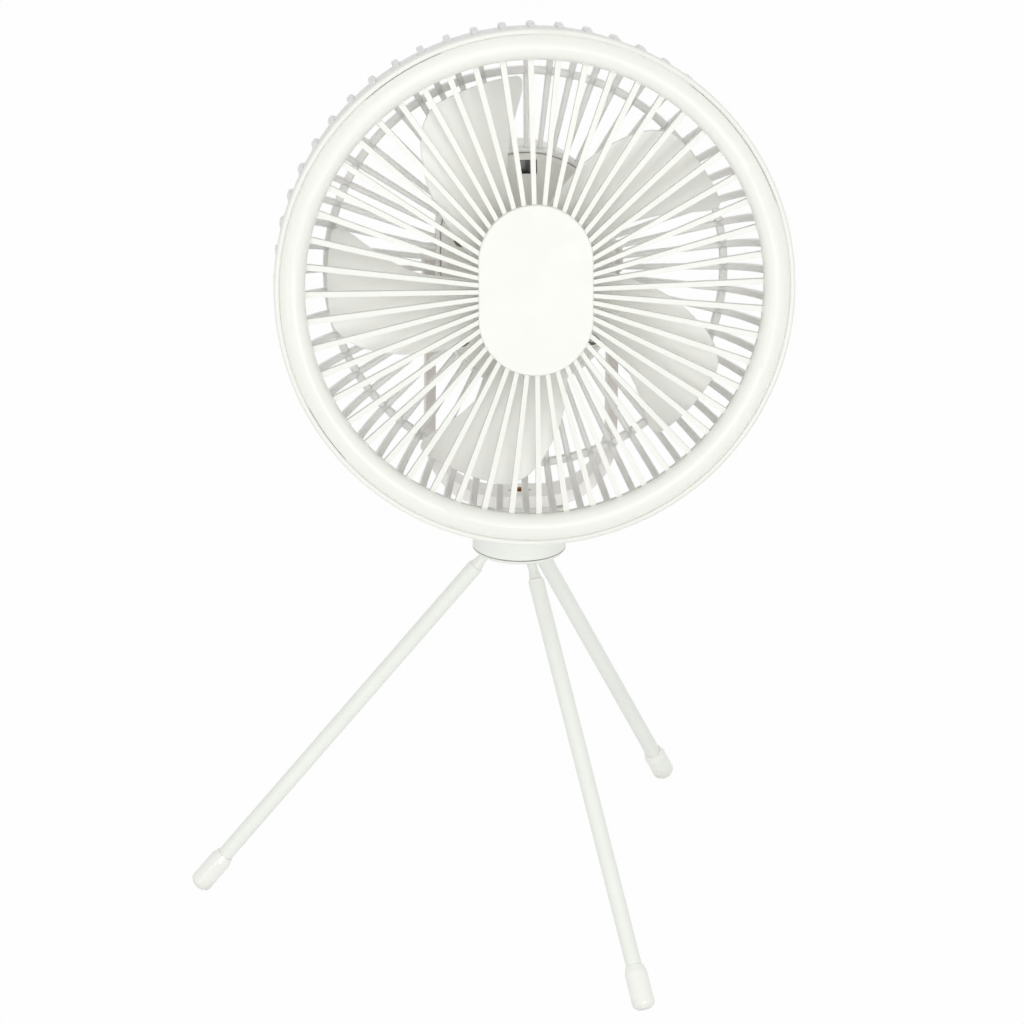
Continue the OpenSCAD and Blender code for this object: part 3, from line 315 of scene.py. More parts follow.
# The inserts are turned brass: lathe marks of 0.3 mm in the gloss, stains of 2.5 mm.
brass, tree, coords = new_finish("turned_brass")
lathe = add_node(tree, "TexNoise", {
    "Vector": (coords, "Object"), "Scale": per_mm(0.3), "Detail": 3.0,
})
stain = add_node(tree, "TexNoise", {
    "Vector": (coords, "Object"), "Scale": per_mm(2.5), "Detail": 4.0,
})
tone = add_node(tree, "Mix", {
    0: (stain, 0), 6: linear("9a6f34"), 7: linear("c99a52"),
}, data_type="RGBA")
gloss = add_node(tree, "MapRange", {"Value": (lathe, 0), "To Min": 0.22, "To Max": 0.42})
relief = add_node(tree, "Bump", {
    "Height": (lathe, 0), "Strength": 0.15, "Distance": 0.00003,
})
close_finish(tree, add_node(tree, "BsdfPrincipled", {
    "Base Color": (tone, 2), "Metallic": 1.0, "Roughness": (gloss, 0), "Normal": (relief, 0),
}))
dress(brass, "bracket_insert", "pivot_inserts")

dress(
    plated_steel("black_oxide_steel", "3a3a3c", "242426", roughness=0.36), "insert_screws",
)


def unselect():
    bpy.ops.object.select_all(action="DESELECT")


def pick(piece, wanted):
    """In edit mode, selects the faces for which wanted(face) is true, and nothing else."""
    mesh = bmesh.from_edit_mesh(piece.data)
    bpy.ops.mesh.select_all(action="DESELECT")
    for face in mesh.faces:
        if wanted(face):
            face.select = True
    mesh.select_flush_mode()
    bmesh.update_edit_mesh(piece.data)


def looks_up(face):
    return face.normal.z > 0.9


def looks_down(face):
    return face.normal.z < -0.9


def draw_out(rise, taper=1):
    """In edit mode, extrudes the picked faces along Z and scales their outline."""
    bpy.ops.mesh.extrude_region_move(TRANSFORM_OT_translate={"value": (0, 0, rise)})
    if taper != 1:
        bpy.ops.transform.resize(value=(taper, taper, 1))


def settle(piece, place):
    """Bakes a piece's place into its mesh and smooths it. Its object is at the origin."""
    unselect()
    piece.select_set(True)
    bpy.context.view_layer.objects.active = piece
    piece.data.transform(place @ piece.matrix_world)
    piece.matrix_world = Matrix.Identity(4)
    bpy.ops.object.mode_set(mode="EDIT")
    bpy.ops.mesh.select_all(action="SELECT")
    bpy.ops.mesh.remove_doubles(threshold=0.000002)
    bpy.ops.mesh.normals_make_consistent(inside=False)
    bpy.ops.object.mode_set(mode="OBJECT")
    bpy.ops.object.shade_smooth_by_angle(angle=math.radians(35))


strap_top = 0.1778499
tip_r, tip_depth, tip_sunk = 0.00115, 0.0016, 0.0010
ridge_count, ridge_rise, ridge_root = 3, 0.00018, 0.86
chamfer_rise, chamfer_taper = 0.0002, 0.72

unselect()
bpy.ops.mesh.primitive_cylinder_add(
    vertices=40, radius=tip_r, depth=tip_depth, location=(0, 0, strap_top - tip_sunk),
)
stud = bpy.context.object
stud.name = "insert_tip"
bpy.ops.object.transform_apply(location=True, rotation=False, scale=False)
bpy.ops.object.mode_set(mode="EDIT")
pick(stud, looks_up)
for ridge in range(ridge_count):
    draw_out(ridge_rise, ridge_root)
    draw_out(ridge_rise, 1 / ridge_root)
draw_out(chamfer_rise, chamfer_taper)
bpy.ops.object.mode_set(mode="OBJECT")
settle(stud, Matrix.Identity(4))
stud.data.materials.append(
    plated_steel("oxidised_brass", "b08050", "3a281c", roughness=0.4),
)
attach(stud, "yoke")

# ---------------------------------------------------------------- front ring and grille
# The bezel ring and the ribbed grille are moulded in warm white ABS. The band between
# them is the light's diffuser, in milky polycarbonate, smooth and slightly deeper. Round
# it a soft white seal lies in the gap, and is pressed in on three short stretches.

ring_abs = moulded(
    "satin_abs_ring", "edeee8", "eaebe4", grain=0.4, low_gloss=0.36, high_gloss=0.46,
    glow=0.08,
)
dress(ring_abs, "bezel_ring", "front_grille")

diffuser = moulded(
    "milky_polycarbonate", "f0f1eb", "ecede6", grain=0.8, low_gloss=0.28, high_gloss=0.36,
    glow=0.35,
)
dress(diffuser, "light_diffuser")

# The head's pieces are made round a vertical axis, front up, and then laid in its place.
pivot_height, head_pitch = 0.2778499, 10
head_place = (
    Matrix.Translation((0, 0, pivot_height))
    @ Matrix.Rotation(math.radians(-head_pitch), 4, "X")
    @ Matrix.Rotation(math.radians(90), 4, "X")
)
seal_inner_r, seal_outer_r = 0.10060, 0.10085
seal_front, seal_depth, pressed_in = 0.0761, 0.0012, 0.0009
pressed_bearings = ((20, 52), (112, 130), (-152, -139))


def walled(piece, thickness, offset=0, group=""):
    """Gives a sheet its wall, which a vertex group may thin."""
    wall = piece.modifiers.new("wall", "SOLIDIFY")
    wall.thickness = thickness
    wall.offset = offset
    wall.vertex_group = group
    bpy.context.view_layer.objects.active = piece
    bpy.ops.object.modifier_apply(modifier="wall")


unselect()
bpy.ops.mesh.primitive_circle_add(
    vertices=360, radius=seal_inner_r, fill_type="NOTHING", location=(0, 0, seal_front),
)
seal = bpy.context.object
seal.name = "diffuser_seal"
bpy.ops.object.mode_set(mode="EDIT")
bpy.ops.mesh.select_all(action="SELECT")
draw_out(0)
bpy.ops.transform.resize(
    value=(seal_outer_r / seal_inner_r, seal_outer_r / seal_inner_r, 1),
    center_override=(0, 0, seal_front),
)
mesh = bmesh.from_edit_mesh(seal.data)
bpy.ops.mesh.select_all(action="DESELECT")
for vertex in mesh.verts:
    bearing = math.degrees(math.atan2(vertex.co.y, vertex.co.x))
    vertex.select = any(low < bearing < high for low, high in pressed_bearings)
mesh.select_flush_mode()
bmesh.update_edit_mesh(seal.data)
bpy.ops.transform.translate(value=(0, 0, -pressed_in))
bpy.ops.object.mode_set(mode="OBJECT")
walled(seal, seal_depth, offset=-1)
settle(seal, head_place)
seal.data.materials.append(moulded(
    "white_silicone", "f8f9f4", "f5f6f0", grain=0.6, low_gloss=0.4, high_gloss=0.5, glow=0.1,
))
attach(seal, "head")

# ---------------------------------------------------------------- ring light
# A ring board behind the diffuser, in white solder mask over its tracks, which gives a
# clean satin sheen with faint rings. The lights on it are domes of warm yellow phosphor.

board_white, tree, coords = new_finish("white_solder_mask")
flow = add_node(tree, "TexNoise", {
    "Vector": (coords, "Object"), "Scale": per_mm(1.5), "Detail": 2.0,
})
tracks = add_node(tree, "TexWave", {
    "Vector": (coords, "Object"), "Scale": per_mm(6), "Distortion": 1.5, "Detail": 1.0,
}, wave_type="RINGS")
tone = add_node(tree, "Mix", {
    0: (tracks, 1), 6: linear("eceee9"), 7: linear("f4f5f2"),
}, data_type="RGBA")
relief = add_node(tree, "Bump", {
    "Height": (flow, 0), "Strength": 0.1, "Distance": 0.00003,
})
close_finish(tree, add_node(tree, "BsdfPrincipled", {
    "Base Color": (tone, 2), "Roughness": 0.3, "Normal": (relief, 0), "IOR": 1.52,
}))
dress(board_white, "led_board")

phosphor, tree, coords = new_finish("phosphor_resin")
dots = add_node(tree, "TexNoise", {
    "Vector": (coords, "Object"), "Scale": per_mm(0.5), "Detail": 2.0,
})
tone = add_node(tree, "Mix", {
    0: (dots, 0), 6: linear("e6cf6a"), 7: linear("f3e39a"),
}, data_type="RGBA")
relief = add_node(tree, "Bump", {
    "Height": (dots, 0), "Strength": 0.2, "Distance": 0.00005,
})
close_finish(tree, add_node(tree, "BsdfPrincipled", {
    "Base Color": (tone, 2), "Roughness": 0.35, "Normal": (relief, 0), "IOR": 1.41,
    "Subsurface Weight": 0.2, "Subsurface Scale": 0.0005,
}))
dress(phosphor, "led_chips")

# ---------------------------------------------------------------- rear guard
# The finned cage behind the ring, in one moulding of the same ABS: 56 bent fins with
# rounded edges, a plain wall at the front, a hoop and a collar round the housing. Its
# outside is painted a shade greyer than its inside, as painted shade on the outer wall.

fin_count, fin_turn = 56, 96
fin_r, fin_depth, bend_r = 0.1021, 0.0045, 0.024
guard_back, fin_front = 0.018, 0.060
fin_inner_w, fin_outer_w, fin_edge = 0.0017, 0.0029, 0.0007
widens_from, widens_over = 0.0342, 0.0703
# shares of a fin's strip at which its bend starts and ends
bend_start, bend_end = 0.15, 0.9
# a ring's radius, its back and front, its wall and the rounding of its edges
guard_rings = (
    (0.0998, 0.045, 0.069, 0.0020, 0.0004),
    (0.0800, 0.0185, 0.0225, 0.0032, 0.0008),
)
# the collar is two half circles, this far above and below the axis
collar_centre, collar_r, fin_root_r = 0.0128, 0.03525, 0.0354
collar_height, collar_wall, collar_edge = 0.006, 0.0017, 0.0004


def fin_start(bearing):
    """Distance from the axis to a fin's root, within the collar's wall, along a bearing."""
    across, along_y = abs(math.cos(bearing)), abs(math.sin(bearing))
    if across * collar_centre >= along_y * fin_root_r:
        return fin_root_r / across
    rise = collar_centre * along_y
    return rise + math.sqrt(rise ** 2 - collar_centre ** 2 + fin_root_r ** 2)


def bevelled(piece, width, segments, angle=50):
    """Rounds the edges that are sharper than an angle."""
    edge = piece.modifiers.new("edge", "BEVEL")
    edge.width = width
    edge.segments = segments
    edge.limit_method = "ANGLE"
    edge.angle_limit = math.radians(angle)
    bpy.context.view_layer.objects.active = piece
    bpy.ops.object.modifier_apply(modifier="edge")


def copy_of(model):
    """A copy with its own mesh."""
    copy = model.copy()
    copy.data = model.data.copy()
    bpy.context.scene.collection.objects.link(copy)
    return copy


def joined(base, *others):
    """Joins pieces into the first one."""
    unselect()
    for part in (base, *others):
        part.select_set(True)
    bpy.context.view_layer.objects.active = base
    bpy.ops.object.join()
    return base


unselect()
bpy.ops.mesh.primitive_grid_add(x_subdivisions=40, y_subdivisions=2, size=1)
fin = bpy.context.object
width = fin.vertex_groups.new(name="width")
bend_x, bend_z = fin_r - bend_r, guard_back + bend_r
for vertex in fin.data.vertices:
    share = vertex.co.x + 0.5
    depth = fin_depth * (vertex.co.y + 0.5)
    if share < bend_start:
        x = fin_root_r + (bend_x - fin_root_r) * share / bend_start
        z = guard_back + depth
    elif share < bend_end:
        bend = math.radians(90 * (share - bend_start) / (bend_end - bend_start))
        x = bend_x + (bend_r - depth) * math.sin(bend)
        z = bend_z - (bend_r - depth) * math.cos(bend)
    else:
        x = fin_r - depth
        z = bend_z + (fin_front - bend_z) * (share - bend_end) / (1 - bend_end)
    vertex.co = (x, 0, z)
    wide = fin_inner_w + (fin_outer_w - fin_inner_w) * (x - widens_from) / widens_over
    width.add([vertex.index], wide / fin_outer_w, "REPLACE")
walled(fin, fin_outer_w, group="width")
bevelled(fin, fin_edge, 3)

fins = []
for number in range(fin_count):
    bearing = math.radians(fin_turn + 360 * number / fin_count)
    stretch = (bend_x - fin_start(bearing)) / (bend_x - fin_root_r)
    copy = copy_of(fin)
    for vertex in copy.data.vertices:
        if vertex.co.x < bend_x:
            vertex.co.x = bend_x - (bend_x - vertex.co.x) * stretch
    copy.rotation_euler = (0, 0, bearing)
    fins.append(copy)
bpy.data.objects.remove(fin)

rings = []
for radius, low, high, thick, round_edge in guard_rings:
    unselect()
    bpy.ops.mesh.primitive_cylinder_add(
        vertices=256, radius=radius, depth=high - low, end_fill_type="NOTHING",
        location=(0, 0, (low + high) / 2),
    )
    rings.append(bpy.context.object)
    walled(rings[-1], thick)
    bevelled(rings[-1], round_edge, 3)

unselect()
bpy.ops.mesh.primitive_circle_add(
    vertices=128, radius=collar_r, fill_type="NOTHING", location=(0, 0, guard_back),
)
collar = bpy.context.object
bpy.ops.object.transform_apply(location=True, rotation=False, scale=False)
bpy.ops.object.mode_set(mode="EDIT")
bpy.ops.mesh.select_mode(type="VERT")
for side in (-1, 1):
    mesh = bmesh.from_edit_mesh(collar.data)
    for vertex in mesh.verts:
        vertex.select = vertex.co.y * side > 0.0001
    mesh.select_flush_mode()
    bmesh.update_edit_mesh(collar.data)
    bpy.ops.transform.translate(value=(0, side * collar_centre, 0))
bpy.ops.mesh.select_all(action="SELECT")
draw_out(collar_height)
bpy.ops.object.mode_set(mode="OBJECT")
walled(collar, collar_wall)
bevelled(collar, collar_edge, 3)

cage = joined(*fins, *rings, collar)
cage.name = "rear_guard_moulding"
settle(cage, head_place)
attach(cage, "head")
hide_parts("rear_guard")

# The same grained ABS as the ring. Its distance from the fan's axis, which two mappings
# bring to Z, tells the outside, which gets the painted shade, from the inside, and the thin
# fins let some light through.
inside_r, outside_r = 0.0985, 0.1005

guard_abs, tree, coords = new_finish("satin_abs_guard")
skin = add_node(tree, "TexNoise", {
    "Vector": (coords, "Object"), "Scale": per_mm(0.4), "Detail": 2.0, "Roughness": 0.5,
})
handled = add_node(tree, "TexNoise", {
    "Vector": (coords, "Object"), "Scale": per_mm(9), "Detail": 3.0, "Roughness": 0.6,
})
lowered = add_node(tree, "Mapping", {
    "Vector": (coords, "Object"), "Location": (0, 0, -pivot_height),
})
turned_up = add_node(tree, "Mapping", {
    "Vector": (lowered, 0), "Rotation": (math.radians(head_pitch - 90), 0, 0),
})
place = add_node(tree, "SeparateXYZ", {"Vector": (turned_up, 0)})
across = add_node(tree, "CombineXYZ", {"X": (place, "X"), "Y": (place, "Y")})
distance = add_node(tree, "VectorMath", {0: (across, 0)}, operation="LENGTH")
painted_outside_shade = add_node(tree, "MapRange", {
    "Value": (distance, "Value"), "From Min": inside_r, "From Max": outside_r,
})
inside_white = add_node(tree, "Mix", {
    0: (handled, 0), 6: linear("fbfaf7"), 7: linear("f8f7f4"),
}, data_type="RGBA")
# painted shade: the outer wall is mixed to a greyer white than the inside
tone = add_node(tree, "Mix", {
    0: (painted_outside_shade, 0), 6: (inside_white, 2), 7: linear("ebebea"),
}, data_type="RGBA")
gloss = add_node(tree, "MapRange", {
    "Value": (handled, 0), "From Min": 0.3, "From Max": 0.7, "To Min": 0.36, "To Max": 0.46,
})
relief = add_node(tree, "Bump", {
    "Height": (skin, 0), "Strength": 0.14, "Distance": 0.00003,
})
close_finish(tree, add_node(tree, "BsdfPrincipled", {
    "Base Color": (tone, 2), "Roughness": (gloss, 0), "Normal": (relief, 0), "IOR": 1.53,
    "Subsurface Weight": 0.35, "Subsurface Radius": (1.0, 0.95, 0.9),
    "Subsurface Scale": 0.0015,
}))
cage.data.materials.append(guard_abs)

# ---------------------------------------------------------------- housing
# Two covers and a shell round the motor and the cells, moulded in white ABS and screwed
# together. They have the tripod's grain, in a warmer white with a duller gloss.

housing_abs = moulded(
    "grained_abs_housing", "f2f1eb", "ecebe4", grain=0.35, low_gloss=0.38, high_gloss=0.48,
)
dress(housing_abs, "housing_shell", "front_cover", "back_cover")

# ---------------------------------------------------------------- infrared window
# A small pane of black acrylic that passes infrared, glued over the receiver. It is
# polished, so that it reflects sharply, with a haze of fine scratches.

acrylic, tree, coords = new_finish("black_infrared_acrylic")
haze = add_node(tree, "TexNoise", {
    "Vector": (coords, "Object"), "Scale": per_mm(1.2), "Detail": 3.0,
})
tone = add_node(tree, "Mix", {
    0: (haze, 0), 6: linear("060607"), 7: linear("0e0c0d"),
}, data_type="RGBA")
gloss = add_node(tree, "MapRange", {"Value": (haze, 0), "To Min": 0.06, "To Max": 0.14})
relief = add_node(tree, "Bump", {
    "Height": (haze, 0), "Strength": 0.03, "Distance": 0.00003,
})
close_finish(tree, add_node(tree, "BsdfPrincipled", {
    "Base Color": (tone, 2), "Roughness": (gloss, 0), "Normal": (relief, 0), "IOR": 1.49,
}))
dress(acrylic, "ir_window")

# ---------------------------------------------------------------- black plastics
# The receiver's body, the switches, the battery tray, the washers and the chips are all
# moulded in black glass-filled nylon, which the fibres leave dull and uneven.

black_nylon = moulded(
    "glass_filled_nylon", "2a2b2c", "1f2021", grain=0.3, low_gloss=0.42, high_gloss=0.6,
)
dress(
    black_nylon, "ir_receiver", "button_switches", "battery_holder", "board_parts",
    "pivot_washers",
)

# ---------------------------------------------------------------- cover screws
# Four in the front cover and four in the back one: pan heads with a cross recess and a
# tapping thread, in blackened steel. Their light grey is painted light, much lighter than
# the steel, over the deep shade of their recesses.

pan_r, pan_depth, pan_round, shank_r = 0.0028, 0.0016, 0.0008, 0.0013
thread_turns, thread_rise, thread_root = 8, 0.0005, 0.78
point_length, point_taper = 0.0009, 0.3
cross_w, cross_arm, cross_point, cross_taper = 0.0007, 0.0012, 0.0006, 0.6

unselect()
bpy.ops.mesh.primitive_cylinder_add(
    vertices=48, radius=pan_r, depth=pan_depth, location=(0, 0, -pan_depth / 2),
)
pan = bpy.context.object
bpy.ops.object.transform_apply(location=True, rotation=False, scale=False)
bpy.ops.object.mode_set(mode="EDIT")
pick(pan, looks_down)
bpy.ops.mesh.inset(thickness=pan_r - shank_r, depth=0)
for turn in range(thread_turns):
    draw_out(-thread_rise, thread_root)
    draw_out(-thread_rise, 1 / thread_root)
draw_out(-point_length, point_taper)
pick(pan, looks_up)
bpy.ops.mesh.bevel(offset=pan_round, segments=4, affect="EDGES")
bpy.ops.object.mode_set(mode="OBJECT")

unselect()
bpy.ops.mesh.primitive_cube_add(size=cross_w, location=(0, 0, 0))
cross = bpy.context.object
bpy.ops.object.mode_set(mode="EDIT")
bpy.ops.mesh.select_all(action="SELECT")
bpy.ops.mesh.extrude_faces_move(TRANSFORM_OT_shrink_fatten={"value": cross_arm})
pick(cross, looks_down)
draw_out(-cross_point, cross_taper)
bpy.ops.object.mode_set(mode="OBJECT")


def cut_out(piece, tool):
    """Takes a tool's shape out of a piece, and the tool away."""
    recess = piece.modifiers.new("recess", "BOOLEAN")
    recess.object = tool
    recess.operation = "DIFFERENCE"
    bpy.context.view_layer.objects.active = piece
    bpy.ops.object.modifier_apply(modifier="recess")
    bpy.data.objects.remove(tool)


def copies(model, name, places):
    """One piece made of copies of a model, at the places given."""
    made = []
    for place in places:
        made.append(copy_of(model))
        made[-1].matrix_world = place
    piece = joined(*made)
    piece.name = name
    return piece


cut_out(pan, cross)
# painted light: a light grey in place of blackened steel, against the shade in the recesses
blackened = plated_steel("blackened_steel", "b4b4b6", "8a8a8c", roughness=0.45)
for name, node, height, turn, spots in (
    ("cover_screws_cross", "cover_screws", 0.0282, Matrix.Identity(4),
     ((0.0262, 0.013), (-0.0262, 0.013), (0.0262, -0.0275), (-0.0262, -0.0275))),
    ("back_screws_cross", "back_screws", -0.0212, Matrix.Rotation(math.pi, 4, "X"),
     ((0.012, 0.038), (-0.012, 0.038), (0.012, -0.038), (-0.012, -0.038))),
):
    # each screw stops at a different turn
    piece = copies(pan, name, [
        Matrix.Translation((x, y, height)) @ turn @ Matrix.Rotation(x * 40 + y * 25, 4, "Z")
        for x, y in spots
    ])
    settle(piece, head_place)
    piece.data.materials.append(blackened)
    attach(piece, "head")
    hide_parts(node)
bpy.data.objects.remove(pan)

# ---------------------------------------------------------------- pivot screws
# One through each arm into the housing: a low button head with a hex socket and a smooth
# shank, in steel lacquered white like the arms.

button_r, button_height, button_round = 0.0056, 0.0015, 0.0010
pivot_shank_r, pivot_shank_length, button_seat = 0.0030, 0.0096, 0.03935
hex_r, hex_depth, hex_middle, hex_edge = 0.0023, 0.0018, 0.0013, 0.0001

unselect()
bpy.ops.mesh.primitive_cylinder_add(
    vertices=72, radius=button_r, depth=button_height, location=(0, 0, button_height / 2),
)
button_head = bpy.context.object
bpy.ops.object.transform_apply(location=True, rotation=False, scale=False)
bpy.ops.object.mode_set(mode="EDIT")
pick(button_head, looks_up)
bpy.ops.mesh.bevel(offset=button_round, segments=5, affect="EDGES")
pick(button_head, looks_down)
bpy.ops.mesh.inset(thickness=button_r - pivot_shank_r, depth=0)
draw_out(-pivot_shank_length)
bpy.ops.object.mode_set(mode="OBJECT")
unselect()
bpy.ops.mesh.primitive_cylinder_add(
    vertices=6, radius=hex_r, depth=hex_depth, location=(0, 0, hex_middle),
)
hexagon = bpy.context.object
bevelled(hexagon, hex_edge, 1)
cut_out(button_head, hexagon)
pivots = copies(button_head, "pivot_screws_hex", [
    Matrix.Rotation(math.radians(side * 90), 4, "Y")
    @ Matrix.Translation((0, 0, button_seat))
    for side in (-1, 1)
])
bpy.data.objects.remove(button_head)
settle(pivots, head_place)
pivots.data.materials.append(
    powder_coat("white_lacquered_steel", crest="efefea", valley="e6e6e0"),
)
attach(pivots, "head")
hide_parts("pivot_screws")

# ---------------------------------------------------------------- buttons and lamps
# Two satin keys and four clear light pipes in the back cover. Each key has a raised sign
# in grey: a switch on one, a lamp on the other.

keys_abs = moulded(
    "satin_abs_keys", "f4f5f0", "eff0ea", grain=0.3, low_gloss=0.3, high_gloss=0.4,
)
dress(keys_abs, "power_button", "light_button")

key_aside, key_low, key_face = 0.011, -0.020, -0.0228
switch_r, switch_line, switch_gap_from = 0.0016, 0.00016, 0.0013
bar_length, bar_middle = 0.0014, 0.0012
lamp_r, lamp_line = 0.0007, 0.00014
ray_count, ray_length, ray_middle = 8, 0.0006, 0.0015

unselect()
bpy.ops.mesh.primitive_torus_add(
    major_radius=switch_r, minor_radius=switch_line, major_segments=48, minor_segments=10,
)
switch_sign = bpy.context.object
switch_sign.name = "switch_sign"
bpy.ops.object.mode_set(mode="EDIT")
bpy.ops.mesh.select_mode(type="FACE")
pick(switch_sign, lambda face: face.calc_center_median().y > switch_gap_from)
bpy.ops.mesh.delete(type="FACE")
bpy.ops.mesh.select_mode(type="EDGE")
bpy.ops.mesh.select_non_manifold()
bpy.ops.mesh.edge_face_add()
bpy.ops.mesh.select_mode(type="FACE")
bpy.ops.object.mode_set(mode="OBJECT")
bpy.ops.mesh.primitive_cylinder_add(
    vertices=12, radius=switch_line, depth=bar_length, location=(0, bar_middle, 0),
    rotation=(math.radians(90), 0, 0),
)
joined(switch_sign, bpy.context.object)

unselect()
bpy.ops.mesh.primitive_cylinder_add(
    vertices=12, radius=lamp_line, depth=ray_length, location=(0, ray_middle, 0),
    rotation=(math.radians(90), 0, 0),
)
ray = bpy.context.object
bpy.ops.object.transform_apply(location=True, rotation=True, scale=False)
lamp_sign = copies(ray, "lamp_sign", [
    Matrix.Rotation(math.radians(360 * number / ray_count), 4, "Z")
    for number in range(ray_count)
])
bpy.data.objects.remove(ray)
bpy.ops.mesh.primitive_torus_add(
    major_radius=lamp_r, minor_radius=lamp_line, major_segments=36, minor_segments=10,
)
joined(lamp_sign, bpy.context.object)

grey_ink = moulded(
    "grey_ink", "9a9d9f", "8d9092", grain=0.3, low_gloss=0.4, high_gloss=0.5,
)
for sign, body, aside in (
    (switch_sign, "power_key", key_aside), (lamp_sign, "light_key", -key_aside),
):
    settle(sign, head_place @ Matrix.Translation((aside, key_low, key_face)))
    sign.data.materials.append(grey_ink)
    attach(sign, body)

# The light pipes are clear and glossy, with slight swirls of the moulding in them.
pipes, tree, coords = new_finish("clear_polycarbonate")
swirl = add_node(tree, "TexNoise", {
    "Vector": (coords, "Object"), "Scale": per_mm(1.5), "Detail": 2.0,
})
tone = add_node(tree, "Mix", {
    0: (swirl, 0), 6: linear("dfe8ea"), 7: linear("eef4f5"),
}, data_type="RGBA")
gloss = add_node(tree, "MapRange", {"Value": (swirl, 0), "To Min": 0.08, "To Max": 0.2})
relief = add_node(tree, "Bump", {
    "Height": (swirl, 0), "Strength": 0.05, "Distance": 0.00005,
})
close_finish(tree, add_node(tree, "BsdfPrincipled", {
    "Base Color": (tone, 2), "Roughness": (gloss, 0), "Normal": (relief, 0), "IOR": 1.58,
    "Transmission Weight": 0.6,
}))
dress(pipes, "indicator_lenses")

# ---------------------------------------------------------------- charging socket
# A shell folded from thin steel sheet, nickel plated: brighter and a little yellower
# than zinc, with a sharp reflection.

dress(plated_steel("nickel_plated_steel", "d3d2cf", "bcbbb8", roughness=0.2), "usb_socket")

# ---------------------------------------------------------------- motor
# A drawn steel can round a stack of iron with copper coils, whose enamelled turns lie
# side by side as fine brown bands, and a dark, dull magnet of sintered powder.

dress(plated_steel("drawn_steel_can", "c9cacb", "b2b4b6", roughness=0.3), "motor_case")

copper, tree, coords = new_finish("enamelled_copper_wire")
turns = add_node(tree, "TexWave", {
    "Vector": (coords, "Object"), "Scale": per_mm(3.2), "Distortion": 0.4, "Detail": 1.0,
}, wave_type="BANDS", bands_direction="Y")
tone = add_node(tree, "Mix", {
    0: (turns, 1), 6: linear("7a3f1c"), 7: linear("c47a45"),
}, data_type="RGBA")
relief = add_node(tree, "Bump", {
    "Height": (turns, 1), "Strength": 0.5, "Distance": 0.0002,
})
close_finish(tree, add_node(tree, "BsdfPrincipled", {
    "Base Color": (tone, 2), "Metallic": 0.8, "Roughness": 0.3, "Normal": (relief, 0),
}))
dress(copper, "motor_stator")
dress(plated_steel("sintered_magnet", "56565a", "3e3e42", roughness=0.5), "rotor_magnet")

# ---------------------------------------------------------------- cells and board
# Two round lithium cells in a blue shrink sleeve, glossy and slightly crinkled, and a
# circuit board under green solder mask, which its tracks lift in lanes.

sleeve, tree, coords = new_finish("shrink_sleeve")
crinkle = add_node(tree, "TexNoise", {
    "Vector": (coords, "Object"), "Scale": per_mm(6), "Detail": 5.0, "Roughness": 0.6,
})
tone = add_node(tree, "Mix", {
    0: (crinkle, 0), 6: linear("2f5d7c"), 7: linear("3c7396"),
}, data_type="RGBA")
relief = add_node(tree, "Bump", {
    "Height": (crinkle, 0), "Strength": 0.2, "Distance": 0.0002,
})
close_finish(tree, add_node(tree, "BsdfPrincipled", {
    "Base Color": (tone, 2), "Roughness": 0.28, "Normal": (relief, 0), "IOR": 1.53,
}))
dress(sleeve, "battery_cells")

solder_mask, tree, coords = new_finish("green_solder_mask")
lanes = add_node(tree, "TexBrick", {
    "Vector": (coords, "Object"), "Scale": per_mm(9), "Color1": linear("1e5a38"),
    "Color2": linear("22643f"), "Mortar": linear("2f7a50"), "Mortar Size": 0.03,
})
relief = add_node(tree, "Bump", {
    "Height": (lanes, 1), "Strength": 0.2, "Distance": 0.00005,
})
close_finish(tree, add_node(tree, "BsdfPrincipled", {
    "Base Color": (lanes, 0), "Roughness": 0.25, "Normal": (relief, 0), "IOR": 1.52,
}))
dress(solder_mask, "main_board")

# ---------------------------------------------------------------- impeller
# Five broad blades on a cup-shaped hub, one moulding in white polypropylene. Each blade is
# a cambered, pitched sheet with rounded rims, thicker at its root than at its tip.

hub_r, hub_wall, hub_edge = 0.0205, 0.0018, 0.0004
hub_back, hub_front = 0.04115, 0.0676411
boss_r, bore_r, bore_end = 0.0045, 0.00155, 0.0002
blade_count, first_blade = 5, 37.5
blade_mid, half_chord, half_lift = 0.0573911, 0.027, 0.00875
camber, camber_above = 0.0036, 0.6
blade_wall, blade_thinning, blade_edge = 0.0021, 0.4, 0.00045
# power that crowds a blade's rows towards its tip
crowding = 1.5
# edges of a blade as (radius in mm, angle in degrees) round the hub
root_r, tip_end_r = 19.2, 81.5
leading_edge = [
    (root_r, -3.2), (26.7, -5.2), (45.2, -6.5), (59.5, -11.3), (66.0, -13.9),
    (72.1, -16.0), (76.0, -17.0), (79.0, -17.1), (80.7, -16.6), (81.3, -15.9),
    (tip_end_r, -15.2),
]
trailing_edge = [
    (root_r, 50.5), (23.0, 49.8), (29.5, 43.6), (37.5, 37.7), (45.0, 33.5), (51.9, 30.0),
    (59.0, 26.1), (65.5, 22.2), (71.5, 18.8), (76.8, 15.0), (80.0, 11.4), (81.1, 9.6),
    (tip_end_r, 8.2),
]


def along(edge, radius):
    """The angle of a blade's edge at a radius."""
    for (r0, a0), (r1, a1) in zip(edge, edge[1:]):
        if radius <= r1:
            return a0 + (a1 - a0) * (radius - r0) / (r1 - r0)
    return edge[-1][1]


